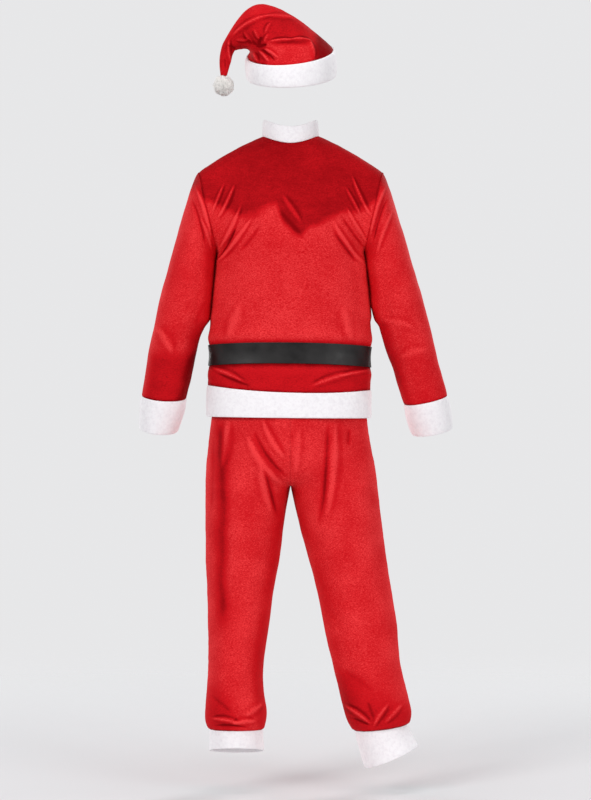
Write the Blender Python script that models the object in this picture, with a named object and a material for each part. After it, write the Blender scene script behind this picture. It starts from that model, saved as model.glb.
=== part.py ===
"""A worn Santa suit, hollow and open at the neck, cuffs and hems: hat, belted jacket and trousers.

Metres, +Z up. The suit faces -Y, and the wearer's left is +X. The origin is on the wearer's centre
line, at the height of the back neckline. Each piece of cloth is a wall laid along a smooth surface,
and each surface runs through a short table of sections.
"""

import math
from collections import namedtuple

import bmesh
import bpy
from mathutils import Vector

GAP = 0.0003  # between two pieces that are sewn together
VELOUR = 0.002  # wall of the red cloth
PLUSH = 0.006  # wall of the white trim, pile included
PROUD = 0.0025  # how far the plush stands out of the red cloth beside it
QUARTER = math.pi / 2

# ---------------------------------------------------------------------------------------------
# Sections. Sides are distances from the centre line, on the wearer's left and right.
# ---------------------------------------------------------------------------------------------

Torso = namedtuple("Torso", "z left right back front dip lean")
JACKET = [
    Torso(-0.6620, 0.2005, 0.1920, 0.122, 0.130, 0.001, 0.0020),  # foot of the hem band
    Torso(-0.5930, 0.1985, 0.1920, 0.119, 0.129, 0.012, 0.0060),  # head of the hem band
    Torso(-0.5500, 0.1955, 0.1915, 0.116, 0.127, 0.004, 0.0030),
    Torso(-0.5150, 0.1925, 0.1895, 0.113, 0.125, 0.000, 0.0020),  # under the belt
    Torso(-0.4700, 0.1955, 0.1940, 0.117, 0.130, 0.000, 0.0000),
    Torso(-0.4000, 0.1880, 0.1895, 0.121, 0.135, 0.000, 0.0000),
    Torso(-0.3300, 0.1805, 0.1830, 0.125, 0.137, 0.000, 0.0000),
    Torso(-0.2700, 0.1755, 0.1765, 0.128, 0.136, 0.000, 0.0000),  # underarms
]
TRUNK_POWER = 2.3  # how square the trunk's oval is

# A ring across a sleeve, leg, cuff or hat, seen from the front or back: its outer and inner ends,
# how far it lies back (+Y), half its depth, and how much its back edge rises over its middle.
Ring = namedtuple("Ring", "outer_x outer_z inner_x inner_z y depth back_rise")
SLEEVE_LEFT = [
    Ring(0.2230, -0.0785, 0.1765, -0.2700, 0.000, 0.085, 0),  # armhole
    Ring(0.2395, -0.1200, 0.1798, -0.2820, 0.000, 0.083, 0),
    Ring(0.2535, -0.1650, 0.1828, -0.2980, 0.000, 0.080, 0),
    Ring(0.2665, -0.2100, 0.1855, -0.3200, 0.003, 0.078, 0),
    Ring(0.2800, -0.2600, 0.1890, -0.3480, 0.006, 0.075, 0),
    Ring(0.2960, -0.3150, 0.1930, -0.3850, 0.008, 0.072, 0),
    Ring(0.3130, -0.3800, 0.1975, -0.4300, 0.006, 0.069, 0),  # elbow
    Ring(0.3280, -0.4450, 0.2170, -0.4740, 0.000, 0.065, 0),
    Ring(0.3410, -0.5050, 0.2305, -0.5300, -0.010, 0.061, 0),
    Ring(0.3510, -0.5650, 0.2415, -0.5780, -0.022, 0.057, 0),
    Ring(0.3550, -0.6120, 0.2520, -0.6180, -0.032, 0.055, 0),  # head of the cuff
]
SLEEVE_RIGHT = [
    Ring(0.2230, -0.0785, 0.1775, -0.2700, 0.000, 0.085, 0),
    Ring(0.2395, -0.1200, 0.1815, -0.2820, 0.000, 0.083, 0),
    Ring(0.2530, -0.1650, 0.1845, -0.2980, 0.000, 0.080, 0),
    Ring(0.2670, -0.2100, 0.1885, -0.3200, 0.003, 0.078, 0),
    Ring(0.2830, -0.2640, 0.1930, -0.3500, 0.006, 0.075, 0),
    Ring(0.3020, -0.3300, 0.1980, -0.3920, 0.008, 0.072, 0),
    Ring(0.3200, -0.3910, 0.2080, -0.4300, 0.006, 0.069, 0),
    Ring(0.3390, -0.4630, 0.2240, -0.4870, 0.000, 0.065, 0),
    Ring(0.3560, -0.5330, 0.2450, -0.5430, -0.010, 0.061, 0),
    Ring(0.3690, -0.5800, 0.2600, -0.5930, -0.022, 0.057, 0),
    Ring(0.3740, -0.6120, 0.2745, -0.6330, -0.032, 0.055, 0),
]
CUFF_LEFT = [
    Ring(0.3550, -0.6120, 0.2520, -0.6180, -0.032, 0.055, 0),
    Ring(0.3590, -0.6500, 0.2590, -0.6520, -0.040, 0.053, 0),
    Ring(0.3595, -0.6980, 0.2750, -0.7020, -0.050, 0.048, 0),
]
CUFF_RIGHT = [
    Ring(0.3740, -0.6120, 0.2745, -0.6330, -0.032, 0.055, 0),
    Ring(0.3820, -0.6500, 0.2830, -0.6680, -0.040, 0.053, 0),
    Ring(0.3865, -0.6940, 0.2960, -0.7080, -0.050, 0.049, 0),
]
LEG_LEFT = [
    Ring(0.1960, -1.4120, 0.0650, -1.4120, 0.006, 0.068, 0.004),  # fold over the ankle cuff
    Ring(0.2040, -1.3900, 0.0590, -1.3900, 0.008, 0.075, 0),
    Ring(0.2040, -1.3600, 0.0570, -1.3600, 0.009, 0.078, 0),
    Ring(0.2005, -1.3150, 0.0630, -1.3150, 0.008, 0.079, 0),
    Ring(0.1980, -1.2550, 0.0630, -1.2550, 0.006, 0.082, 0),
    Ring(0.1975, -1.1690, 0.0520, -1.1690, 0.003, 0.086, 0),
    Ring(0.1985, -1.0820, 0.0410, -1.0820, 0.000, 0.090, 0),  # knee
    Ring(0.2030, -0.9960, 0.0240, -0.9960, 0.000, 0.096, 0),
    Ring(0.2030, -0.9100, 0.0130, -0.9100, 0.000, 0.103, 0),
    Ring(0.2030, -0.8280, 0.0002, -0.8280, 0.000, 0.108, 0),  # crotch
]
LEG_RIGHT = [
    Ring(0.2820, -1.3980, 0.1510, -1.4140, 0.006, 0.068, 0),
    Ring(0.2880, -1.3820, 0.1380, -1.3930, 0.008, 0.075, 0),
    Ring(0.2880, -1.3600, 0.1270, -1.3640, 0.009, 0.078, 0),
    Ring(0.2770, -1.3150, 0.1150, -1.3150, 0.008, 0.080, 0),
    Ring(0.2640, -1.2550, 0.1010, -1.2550, 0.006, 0.083, 0),
    Ring(0.2555, -1.1690, 0.0810, -1.1690, 0.003, 0.087, 0),
    Ring(0.2420, -1.0820, 0.0640, -1.0820, 0.000, 0.091, 0),
    Ring(0.2295, -0.9960, 0.0420, -0.9960, 0.000, 0.097, 0),
    Ring(0.2175, -0.9100, 0.0180, -0.9100, 0.000, 0.104, 0),
    Ring(0.2080, -0.8280, 0.0002, -0.8280, 0.000, 0.108, 0),
]
ANKLE_LEFT = [
    Ring(0.1930, -1.4620, 0.0660, -1.4620, 0.004, 0.066, 0.014),
    Ring(0.1915, -1.4200, 0.0690, -1.4200, 0.005, 0.062, 0.006),
    Ring(0.1910, -1.3780, 0.0720, -1.3780, 0.006, 0.060, 0),
]
ANKLE_RIGHT = [
    Ring(0.3040, -1.4500, 0.1800, -1.5020, 0.004, 0.068, 0),
    Ring(0.2830, -1.4120, 0.1680, -1.4600, 0.005, 0.063, 0),
    Ring(0.2650, -1.3740, 0.1580, -1.4190, 0.006, 0.058, 0),
]
# The hat's outer end is on the wearer's right (-X) and its inner end on the left (+X).
HAT = [
    Ring(-0.1040, 0.2180, 0.1040, 0.2000, 0.000, 0.112, -0.042),  # head of the band
    Ring(-0.0850, 0.2370, 0.0990, 0.2090, 0.000, 0.107, -0.036),
    Ring(-0.0600, 0.2590, 0.0985, 0.2150, 0.000, 0.100, -0.028),
    Ring(-0.0300, 0.2830, 0.1020, 0.2180, 0.003, 0.090, -0.020),
    Ring(0.0020, 0.3040, 0.1070, 0.2190, 0.006, 0.080, -0.012),
    Ring(0.0370, 0.3200, 0.1130, 0.2190, 0.010, 0.069, -0.006),
    Ring(0.0720, 0.3260, 0.1190, 0.2180, 0.013, 0.057, 0),
    Ring(0.1000, 0.3160, 0.1245, 0.2170, 0.015, 0.046, 0),
    Ring(0.1220, 0.2940, 0.1290, 0.2155, 0.016, 0.037, 0),
    Ring(0.1460, 0.2600, 0.1330, 0.2120, 0.018, 0.029, 0),
    Ring(0.1640, 0.2240, 0.1385, 0.2040, 0.019, 0.021, 0),
    Ring(0.1690, 0.1900, 0.1440, 0.1870, 0.020, 0.014, 0),
    Ring(0.1640, 0.1550, 0.1550, 0.1550, 0.020, 0.005, 0),  # tip, over the pompom
]
HAT_BAND = [
    Ring(-0.1065, 0.1580, 0.1015, 0.1490, 0.000, 0.113, -0.038),
    Ring(-0.1065, 0.1880, 0.1045, 0.1750, 0.000, 0.114, -0.041),
    Ring(-0.1040, 0.2180, 0.1040, 0.2000, 0.000, 0.112, -0.042),
]
POMPOM_CENTRE = (0.1600, 0.020, 0.1300)
POMPOM_RADIUS = 0.0242

Seat = namedtuple("Seat", "z left right back front")
SEAT = [
    Seat(-0.8280, 0.2030, 0.2080, 0.108, 0.108),  # crotch
    Seat(-0.7800, 0.2010, 0.2030, 0.114, 0.114),
    Seat(-0.7300, 0.1960, 0.1930, 0.117, 0.117),
    Seat(-0.6700, 0.1900, 0.1840, 0.113, 0.116),
    Seat(-0.6200, 0.1810, 0.1770, 0.107, 0.112),
    Seat(-0.5700, 0.1700, 0.1670, 0.101, 0.107),
    Seat(-0.5350, 0.1620, 0.1600, 0.097, 0.103),
    Seat(-0.5000, 0.1570, 0.1560, 0.095, 0.101),  # waist
]

# The neckline, an oval round the foot of the neck, and the shoulder seams that run out from it.
NECK_HALF_WIDTH = 0.066
NECK_BACK, NECK_FRONT = 0.058, 0.075
NECK_SIDE_Z = 0.012
NECK_BACK_DROP, NECK_FRONT_DROP = 0.0195, 0.067
NECK_SHARE = 0.36  # of the panel's half width, at the neckline
SHOULDER_TIP = Vector((0.2218, 0, -0.0780))
SHOULDER_ARCH = 0.006
ARMHOLE_DEPTH = 0.085
COLLAR_HEIGHT = 0.036
COLLAR_LEAN = 0.10  # inward, of its height

BELT_WIDTH, BELT_WALL = 0.049, 0.0025
BELT_GAP = 0.0008
BELT_Z, BELT_ARCH, BELT_TILT = -0.5168, 0.0060, 0.0022
BELT_START, BELT_END = -94, 306  # degrees round the trunk, from the wearer's left by the back
STRIP_HALF_WIDTH = 0.028
BUCKLE_HALF = (0.040, 0.037)
BUCKLE_BAR, BUCKLE_WALL = 0.008, 0.004

RED, WHITE = (0.53, 0.004, 0.009), (0.86, 0.83, 0.85)
BLACK, STEEL = (0.02, 0.02, 0.021), (0.60, 0.58, 0.52)

# ---------------------------------------------------------------------------------------------
# Making walls
# ---------------------------------------------------------------------------------------------


def clear_scene():
    for thing in list(bpy.data.objects):
        bpy.data.objects.remove(thing)


def hermite(start, end, start_slope, end_slope, t):
    """A cubic from start to end that leaves and arrives with these slopes."""
    return (
        start * (2 * t**3 - 3 * t**2 + 1)
        + start_slope * (t**3 - 2 * t**2 + t)
        + end * (3 * t**2 - 2 * t**3)
        + end_slope * (t**3 - t**2)
    )


def section(rows, t):
    """The section at t, from 0 at the first row to 1 at the last, on smooth curves through the rows."""
    place = min(max(t, 0.0), 1.0) * (len(rows) - 1)
    index = min(int(place), len(rows) - 2)
    before, start = rows[max(index - 1, 0)], rows[index]
    end, after = rows[index + 1], rows[min(index + 2, len(rows) - 1)]
    return type(start)(
        *(
            hermite(b, c, (c - a) / 2, (d - b) / 2, place - index)
            for a, b, c, d in zip(before, start, end, after)
        )
    )


def rounded(value, power):
    """A cosine or sine pushed towards 1, so that an oval drawn with it is squarer."""
    return math.copysign(abs(value) ** (2 / power), value)


def finish(name, mesh, colour, roughness, metallic=0.0):
    material = bpy.data.materials.new(name)
    material.use_nodes = True
    shader = material.node_tree.nodes["Principled BSDF"]
    shader.inputs["Base Color"].default_value = (*colour, 1)
    shader.inputs["Roughness"].default_value = roughness
    shader.inputs["Metallic"].default_value = metallic
    mesh.materials.append(material)
    mesh.shade_smooth()
    mesh.set_sharp_from_angle(angle=math.radians(50))
    piece = bpy.data.objects.new(name, mesh)
    suit.objects.link(piece)
    return piece


def wall(name, surface, columns, rows, thickness, outward, colour, ring=False, roughness=0.8):
    """A wall of cloth whose outer face is surface(u, v), with u and v from 0 to 1.

    A flat slab is bent onto the surface, and its lower face goes in by the thickness. outward is 1
    where u across v points out of the garment, and -1 where it points in. A ring's ends are joined.
    """
    bm = bmesh.new()
    bmesh.ops.create_grid(bm, x_segments=columns, y_segments=rows, size=0.5)
    top = bmesh.ops.extrude_face_region(bm, geom=bm.faces[:], use_keep_orig=True)["geom"]
    top = [part for part in top if isinstance(part, bmesh.types.BMVert)]
    bmesh.ops.translate(bm, verts=top, vec=(0, 0, 1))
    bmesh.ops.recalc_face_normals(bm, faces=bm.faces[:])
    if outward < 0:
        bmesh.ops.reverse_faces(bm, faces=bm.faces[:])
    if ring:
        ends = [f for f in bm.faces if all(abs(abs(v.co.x) - 0.5) < 1e-6 for v in f.verts)]
        bmesh.ops.delete(bm, geom=ends, context="FACES_ONLY")
    step = 1e-4
    for vertex in bm.verts:
        u, v, inside = vertex.co.x + 0.5, vertex.co.y + 0.5, vertex.co.z < 0.5
        if ring and u > 1 - 1e-6:
            u = 0.0
        vertex.co = surface(u, v)
        if inside:
            u = min(max(u, step), 1 - step)
            v = min(max(v, step), 1 - step)
            along_u = surface(u + step, v) - surface(u - step, v)
            along_v = surface(u, v + step) - surface(u, v - step)
            vertex.co -= along_u.cross(along_v).normalized() * outward * thickness
    if ring:
        bmesh.ops.remove_doubles(bm, verts=bm.verts[:], dist=1e-6)
    mesh = bpy.data.meshes.new(name)
    bm.to_mesh(mesh)
    bm.free()
    return finish(name, mesh, colour, roughness)


def on_ring(ring, angle, side, proud=0.0):
    """A point on a ring, from its outer end (0 degrees) by its back (90)."""
    outer = Vector((side * ring.outer_x, 0, ring.outer_z))
    inner = Vector((side * ring.inner_x, 0, ring.inner_z))
    half = (outer - inner) / 2
    across = half * (1 + proud / half.length) * math.cos(angle)
    back = Vector((0, ring.depth + proud, ring.back_rise)) * math.sin(angle)
    return (outer + inner) / 2 + across + back + Vector((0, ring.y, 0))


def tube(name, table, side, columns, rows, thickness, colour, proud=0.0, start=0.0, end=1.0):
    """A wall round a limb or a head. A tube that runs down from its first ring faces the other way."""

    def surface(u, v):
        return on_ring(section(table, start + (end - start) * v), u * 2 * math.pi, side, proud)

    upward = 1 if table[-1].outer_z > table[0].outer_z else -1
    mirrored = 1 if table[0].outer_x > table[0].inner_x else -1
    return wall(name, surface, columns, rows, thickness, side * upward * mirrored, colour, True)


# ---------------------------------------------------------------------------------------------
# Jacket
# ---------------------------------------------------------------------------------------------

HEM_SHARE = 1 / (len(JACKET) - 1)  # of the trunk's table, under the red cloth
TRUNK_SHARE = 0.54  # of a panel's height, below the underarms
PANEL_ROWS = 15
BACK_COLUMNS, FRONT_COLUMNS = 18, 9
SEAM_TOP = 0.0008  # of a panel's height, left open along the shoulder seam


def on_trunk(angle, t, proud=0.0):
    """A point on the trunk, by its angle from the wearer's left by the back."""
    ring = section(JACKET, t)
    across = rounded(math.cos(angle), TRUNK_POWER)
    deep = rounded(math.sin(angle), TRUNK_POWER)
    width = (ring.left if across > 0 else ring.right) + proud
    depth = (ring.back if deep > 0 else ring.front) + proud
    height = ring.z - ring.dip * math.sin(angle) ** 2 + ring.lean * across
    return Vector((width * across, depth * deep, height))


def on_neckline(reach, side, face):
    """A point on the neckline, from the centre back or front (0) to the neck's side (1)."""
    angle = reach * QUARTER
    deep, drop = (NECK_BACK, NECK_BACK_DROP) if face > 0 else (NECK_FRONT, NECK_FRONT_DROP)
    return Vector(
        (
            side * NECK_HALF_WIDTH * math.sin(angle),
            face * deep * math.cos(angle),
            NECK_SIDE_Z - drop * math.cos(angle) ** 2,
        )
    )


def on_armhole(t, side, face):
    """A point on the armhole, from the underarm (0) to the shoulder's tip (1)."""
    tip = Vector((side * SHOULDER_TIP.x, 0, SHOULDER_TIP.z))
    underarm = on_trunk(0 if side > 0 else math.pi, 1)
    swing = (t - 0.5) * math.pi
    middle, half = (tip + underarm) / 2, (tip - underarm) / 2
    return middle + half * math.sin(swing) + Vector((0, face * ARMHOLE_DEPTH * math.cos(swing), 0))


def on_yoke(angle, t):
    """A point above the underarms, from their level (0) up to the neckline and shoulder seam (1)."""
    side = 1 if math.cos(angle) >= 0 else -1
    face = 1 if math.sin(angle) >= 0 else -1
    from_side = abs(math.atan2(math.sin(angle), math.cos(angle)))
    from_side = min(from_side, math.pi - from_side)
    reach = 1 - from_side / QUARTER
    if reach < NECK_SHARE:
        top = on_neckline(reach / NECK_SHARE, side, face)
        upright = math.cos(reach / NECK_SHARE * QUARTER) ** 2
    else:
        out = (reach - NECK_SHARE) / (1 - NECK_SHARE)
        tip = Vector((side * SHOULDER_TIP.x, 0, SHOULDER_TIP.z))
        top = on_neckline(1, side, face).lerp(tip, out)
        top.z += SHOULDER_ARCH * 4 * out * (1 - out)
        upright = 0
    foot = on_trunk(angle, 1)
    round_arm = reach**4
    leave = Vector((0, face * 0.34 * round_arm, 0.27 * (1 - round_arm)))
    arrive = Vector((0, -face * (0.30 - 0.18 * upright + 0.04 * round_arm), 0.22 * upright))
    point = hermite(foot, top, leave, arrive, t)
    edge = hermite(
        on_trunk(0 if side > 0 else math.pi, 1),
        Vector((side * SHOULDER_TIP.x, 0, SHOULDER_TIP.z)),
        Vector((0, face * 0.34, 0)),
        Vector((0, -face * 0.34, 0)),
        t,
    )
    return point + (on_armhole(t, side, face) - edge) * reach**8


def on_jacket(angle, v):
    if v < TRUNK_SHARE:
        return on_trunk(angle, HEM_SHARE + (1 - HEM_SHARE) * v / TRUNK_SHARE)
    return on_yoke(angle, (v - TRUNK_SHARE) / (1 - TRUNK_SHARE))


def jacket_panel(name, start, end, columns):
    """A panel between two angles round the trunk, in degrees, clear of the seams at its ends."""
    seam = 0.11

    def surface(u, v):
        angle = math.radians(start + seam + (end - start - 2 * seam) * u)
        return on_jacket(angle, v * (1 - SEAM_TOP))

    wall(name, surface, columns, PANEL_ROWS, VELOUR, 1, RED)


def trunk_height(angle, z):
    """Where a height falls in the trunk's table, found by halving."""
    low, high = 0.0, 1.0
    for _ in range(30):
        middle = (low + high) / 2
        if on_trunk(angle, middle).z < z:
            low = middle
        else:
            high = middle
    return low


def hem_band():
    table_gap = GAP / (JACKET[1].z - JACKET[0].z)

    def surface(u, v):
        return on_trunk(u * 2 * math.pi, HEM_SHARE * (1 - table_gap) * v, PROUD)

    wall("hem_band", surface, 36, 1, PLUSH, 1, WHITE, ring=True)


def collar():
    """The stand starts beside the front strip, goes round the neck and comes back to it."""

    def surface(u, v):
        angle = math.radians(-88 + 356 * u)
        side = 1 if math.cos(angle) >= 0 else -1
        face = 1 if math.sin(angle) >= 0 else -1
        reach = abs(math.cos(angle)) * 0.999
        foot = on_neckline(math.asin(reach) / QUARTER, side, face)
        out = Vector((foot.x, foot.y, 0)).normalized()
        steep = math.sin(2 * math.asin(reach)) * (4 if face < 0 else 1)
        rise = 0.0012 * (1 + steep) + COLLAR_HEIGHT * v
        return foot + out * (0.003 - COLLAR_LEAN * COLLAR_HEIGHT * v) + Vector((0, 0, rise))

    wall("collar", surface, 24, 1, PLUSH, 1, WHITE)


def front_band():
    """A strip over the closed fronts, from just above the hem band to just under the collar.

    It lies on the fronts' own points: their centre edge and their first column beside it.
    """
    first_column = math.radians(90 / FRONT_COLUMNS)

    def surface(u, v):
        x = STRIP_HALF_WIDTH * (2 * u - 1)
        height = min(max(v * (1 - SEAM_TOP), 0.004), 0.979)
        edge = on_jacket(-QUARTER, height)
        beside = on_jacket(-QUARTER + math.copysign(first_column, x), height)
        across = (beside - edge) / abs(beside.x)
        upward = on_jacket(-QUARTER, height + 0.01) - on_jacket(-QUARTER, height - 0.01)
        out = math.copysign(1, x) * across.cross(upward).normalized()
        return edge + across * abs(x) + out * (PLUSH + GAP * 2)

    wall("front_band", surface, 4, PANEL_ROWS, PLUSH, 1, WHITE)


def belt():
    """A strap that starts under the buckle, goes once round and laps over its own start."""
    turn = math.radians(BELT_END - BELT_START)
    lap_from = math.radians(BELT_START + 345)
    strip_from = math.radians(30)

    def surface(u, v):
        angle = math.radians(BELT_START) + turn * u
        round_front = math.atan2(math.cos(angle), -math.sin(angle))
        over_strip = 1 - min(max((abs(round_front) - 0.16) / strip_from, 0), 1)
        over_strip = over_strip * over_strip * (3 - 2 * over_strip)
        lap = min(max((angle - lap_from) / math.radians(14), 0), 1)
        proud = BELT_GAP + BELT_WALL + (PLUSH + 2 * GAP) * over_strip
        proud += (BELT_WALL + BELT_GAP) * lap * lap * (3 - 2 * lap)
        z = BELT_Z + BELT_ARCH * math.sin(angle) ** 2 + BELT_TILT * math.cos(angle)
        z += BELT_WIDTH * (v - 0.5)
        return on_trunk(angle, trunk_height(angle, z), proud)

    wall("belt", surface, 52, 1, BELT_WALL, 1, BLACK, roughness=0.45)


def belt_buckle():
    """A plain frame, cut from plate, in front of the lapped strap."""
    front = JACKET[4].front + PLUSH + 2 * GAP + 2 * (BELT_WALL + BELT_GAP)
    half_x, half_z = BUCKLE_HALF
    outline = bpy.data.curves.new("belt_buckle", "CURVE")
    outline.dimensions = "2D"
    outline.fill_mode = "BOTH"
    outline.extrude = BUCKLE_WALL / 2
    for inset in (0, BUCKLE_BAR):
        spline = outline.splines.new("POLY")
        spline.points.add(3)
        spline.use_cyclic_u = True
        corners = [(-1, -1), (1, -1), (1, 1), (-1, 1)]
        for point, (x, z) in zip(spline.points, corners):
            point.co = (x * (half_x - inset), z * (half_z - inset), 0, 1)
    shape = bpy.data.objects.new("outline", outline)
    suit.objects.link(shape)
    shape.rotation_euler.x = QUARTER
    shape.location = (0, -front - BUCKLE_WALL / 2, BELT_Z + BELT_ARCH)
    bpy.context.view_layer.update()
    mesh = bpy.data.meshes.new_from_object(shape.evaluated_get(bpy.context.evaluated_depsgraph_get()))
    place = shape.matrix_world.copy()
    bpy.data.objects.remove(shape)
    bm = bmesh.new()
    bm.from_mesh(mesh)
    bmesh.ops.remove_doubles(bm, verts=bm.verts[:], dist=1e-6)
    bmesh.ops.recalc_face_normals(bm, faces=bm.faces[:])
    bm.to_mesh(mesh)
    bm.free()
    mesh.materials.clear()
    finish("belt_buckle", mesh, STEEL, 0.3, 1.0).matrix_world = place


# ---------------------------------------------------------------------------------------------
# Trousers
# ---------------------------------------------------------------------------------------------

LEG_SHARE = 0.66  # of a panel's height, below the crotch
SEAT_TOP = (len(SEAT) - 2) / (len(SEAT) - 1)  # of the seat's table, under the waistband


def on_seat(side, face, reach, t, proud=0.0):
    """A point above the crotch, from the side seam (0) to the centre seam (1)."""
    ring = section(SEAT, t)
    width = (ring.left if side > 0 else ring.right) + proud
    depth = (ring.back if face > 0 else ring.front) + proud
    middle = width / 2 * max(0, 1 - t / 0.5) ** 2
    half = width - middle
    angle = reach * math.acos(max(-middle / half, -0.99999))
    x = max(middle + half * math.cos(angle), GAP)
    return Vector((side * x, face * depth * math.sin(angle), ring.z))


def trouser_panel(name, side, face, legs):
    """A quarter of the trousers, between its side seam and its inside leg and centre seams."""
    seam = 0.0022

    def surface(u, v):
        reach = seam + (1 - 2 * seam) * u
        if v < LEG_SHARE:
            point = on_ring(section(legs, v / LEG_SHARE), face * reach * math.pi, side)
            return Vector((side * max(side * point.x, GAP), point.y, point.z))
        return on_seat(side, face, reach, (v - LEG_SHARE) / (1 - LEG_SHARE) * SEAT_TOP)

    wall(name, surface, 8, 15, VELOUR, side * face, RED)


def waistband():
    def surface(u, v):
        angle = u * 2 * math.pi
        side = 1 if math.cos(angle) >= 0 else -1
        face = 1 if math.sin(angle) >= 0 else -1
        from_side = abs(math.atan2(math.sin(angle), math.cos(angle)))
        reach = min(from_side, math.pi - from_side) / QUARTER
        t = SEAT_TOP + 0.002 + (1 - SEAT_TOP - 0.002) * v
        point = on_seat(side, face, reach, t, 0.001)
        if reach > 1 - 1e-6:
            point.x = 0
        return point

    wall("waistband", surface, 28, 1, 0.004, 1, RED, ring=True)


# ---------------------------------------------------------------------------------------------
# Pompom, and everything in order
# ---------------------------------------------------------------------------------------------


def pompom():
    bm = bmesh.new()
    bmesh.ops.create_icosphere(bm, subdivisions=2, radius=POMPOM_RADIUS)
    mesh = bpy.data.meshes.new("pompom")
    bm.to_mesh(mesh)
    bm.free()
    finish("pompom", mesh, WHITE, 0.9).location = POMPOM_CENTRE


clear_scene()
suit = bpy.data.collections.new("santa_suit")
bpy.context.scene.collection.children.link(suit)

tube("hat_crown", HAT, 1, 18, 12, VELOUR, RED, start=0.004)
tube("hat_band", HAT_BAND, 1, 26, 2, 0.008, WHITE, proud=0.004, end=0.99)
pompom()

jacket_panel("jacket_back", 0, 180, BACK_COLUMNS)
jacket_panel("jacket_front_left", -90, 0, FRONT_COLUMNS)
jacket_panel("jacket_front_right", 180, 270, FRONT_COLUMNS)
tube("sleeve_left", SLEEVE_LEFT, 1, 16, 15, VELOUR, RED)
tube("sleeve_right", SLEEVE_RIGHT, -1, 16, 12, VELOUR, RED)
tube("cuff_left", CUFF_LEFT, 1, 18, 2, PLUSH, WHITE, proud=PROUD, start=0.03)
tube("cuff_right", CUFF_RIGHT, -1, 18, 2, PLUSH, WHITE, proud=PROUD, start=0.03)
hem_band()
collar()
front_band()
belt()
belt_buckle()

trouser_panel("trouser_back_left", 1, 1, LEG_LEFT)
trouser_panel("trouser_back_right", -1, 1, LEG_RIGHT)
trouser_panel("trouser_front_left", 1, -1, LEG_LEFT)
trouser_panel("trouser_front_right", -1, -1, LEG_RIGHT)
waistband()
tube("trouser_cuff_left", ANKLE_LEFT, 1, 18, 2, PLUSH, WHITE)
tube("trouser_cuff_right", ANKLE_RIGHT, -1, 18, 2, PLUSH, WHITE)
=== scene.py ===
"""The finish of a worn Santa suit: velour hat, jacket and trousers with white plush bands, and a belt.

Metres, +Z up. The suit faces -Y, and the wearer's left is +X.
"""

import math
from collections import namedtuple

import bmesh
import bpy
import numpy as np
from mathutils import Matrix, Vector, noise


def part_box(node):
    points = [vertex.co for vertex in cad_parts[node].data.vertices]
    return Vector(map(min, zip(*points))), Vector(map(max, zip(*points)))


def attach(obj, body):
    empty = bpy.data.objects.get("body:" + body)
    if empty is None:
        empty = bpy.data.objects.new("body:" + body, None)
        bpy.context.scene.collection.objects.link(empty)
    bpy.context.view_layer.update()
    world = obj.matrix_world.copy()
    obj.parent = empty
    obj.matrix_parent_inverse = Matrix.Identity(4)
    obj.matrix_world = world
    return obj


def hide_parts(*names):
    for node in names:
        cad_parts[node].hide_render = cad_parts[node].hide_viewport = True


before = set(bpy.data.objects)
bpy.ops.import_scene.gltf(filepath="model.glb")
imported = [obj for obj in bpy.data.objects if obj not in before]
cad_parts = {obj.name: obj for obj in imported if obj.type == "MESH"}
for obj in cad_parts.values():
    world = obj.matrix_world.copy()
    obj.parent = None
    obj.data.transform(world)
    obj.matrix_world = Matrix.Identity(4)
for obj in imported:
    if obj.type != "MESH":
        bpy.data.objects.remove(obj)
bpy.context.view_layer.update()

# ---------------------------------------------------------------------------------------------
# Studio: a pale floor that fades into a pale room, two big soft lights behind the suit, two in
# front of it and one above, and the camera at chest height, looking at the suit's back.
# ---------------------------------------------------------------------------------------------

FLOOR_Z = -1.56
FLOOR_OPAQUE, FLOOR_GONE = 1.0, 3.6  # radius where the floor starts to fade, and where it is gone
CAMERA_PLACE, CAMERA_LENS = (-0.012, 6.0, -0.6216), 112.5

scene = bpy.context.scene
scene.view_settings.view_transform = "Standard"


def feed(tree, node, inputs):
    """Gives each of a node's inputs a value, or the output of another node."""
    for name, value in inputs.items():
        if isinstance(value, bpy.types.NodeSocket):
            tree.links.new(value, node.inputs[name])
        else:
            node.inputs[name].default_value = value


def add(tree, kind, inputs, **settings):
    """A new shader node, with its inputs fed."""
    node = tree.nodes.new("ShaderNode" + kind)
    for name, value in settings.items():
        setattr(node, name, value)
    feed(tree, node, inputs)
    return node


def new_finish(name):
    """A new material, its node tree and its shader."""
    material = bpy.data.materials.new(name)
    material.use_nodes = True
    return material, material.node_tree, material.node_tree.nodes["Principled BSDF"]


def smooth_object(bm, name, material):
    """The finished bmesh as a smooth object in the scene."""
    mesh = bpy.data.meshes.new(name)
    bm.to_mesh(mesh)
    bm.free()
    mesh.shade_smooth()
    mesh.materials.append(material)
    made = bpy.data.objects.new(name, mesh)
    scene.collection.objects.link(made)
    return made


room = bpy.data.worlds.new("room")
room.use_nodes = True
scene.world = room
tree = room.node_tree
soft_room = tree.nodes["Background"]
feed(tree, soft_room, {"Color": (0.95, 0.97, 1.0, 1), "Strength": 0.36})
pale_room = add(tree, "Background", {"Color": (0.80, 0.80, 0.81, 1)})
seen = add(tree, "LightPath", {}).outputs["Is Camera Ray"]
lit, shown = soft_room.outputs["Background"], pale_room.outputs["Background"]
seen_or_lit = add(tree, "MixShader", {"Fac": seen, 1: lit, 2: shown})
feed(tree, tree.nodes["World Output"], {"Surface": seen_or_lit.outputs["Shader"]})

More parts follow.
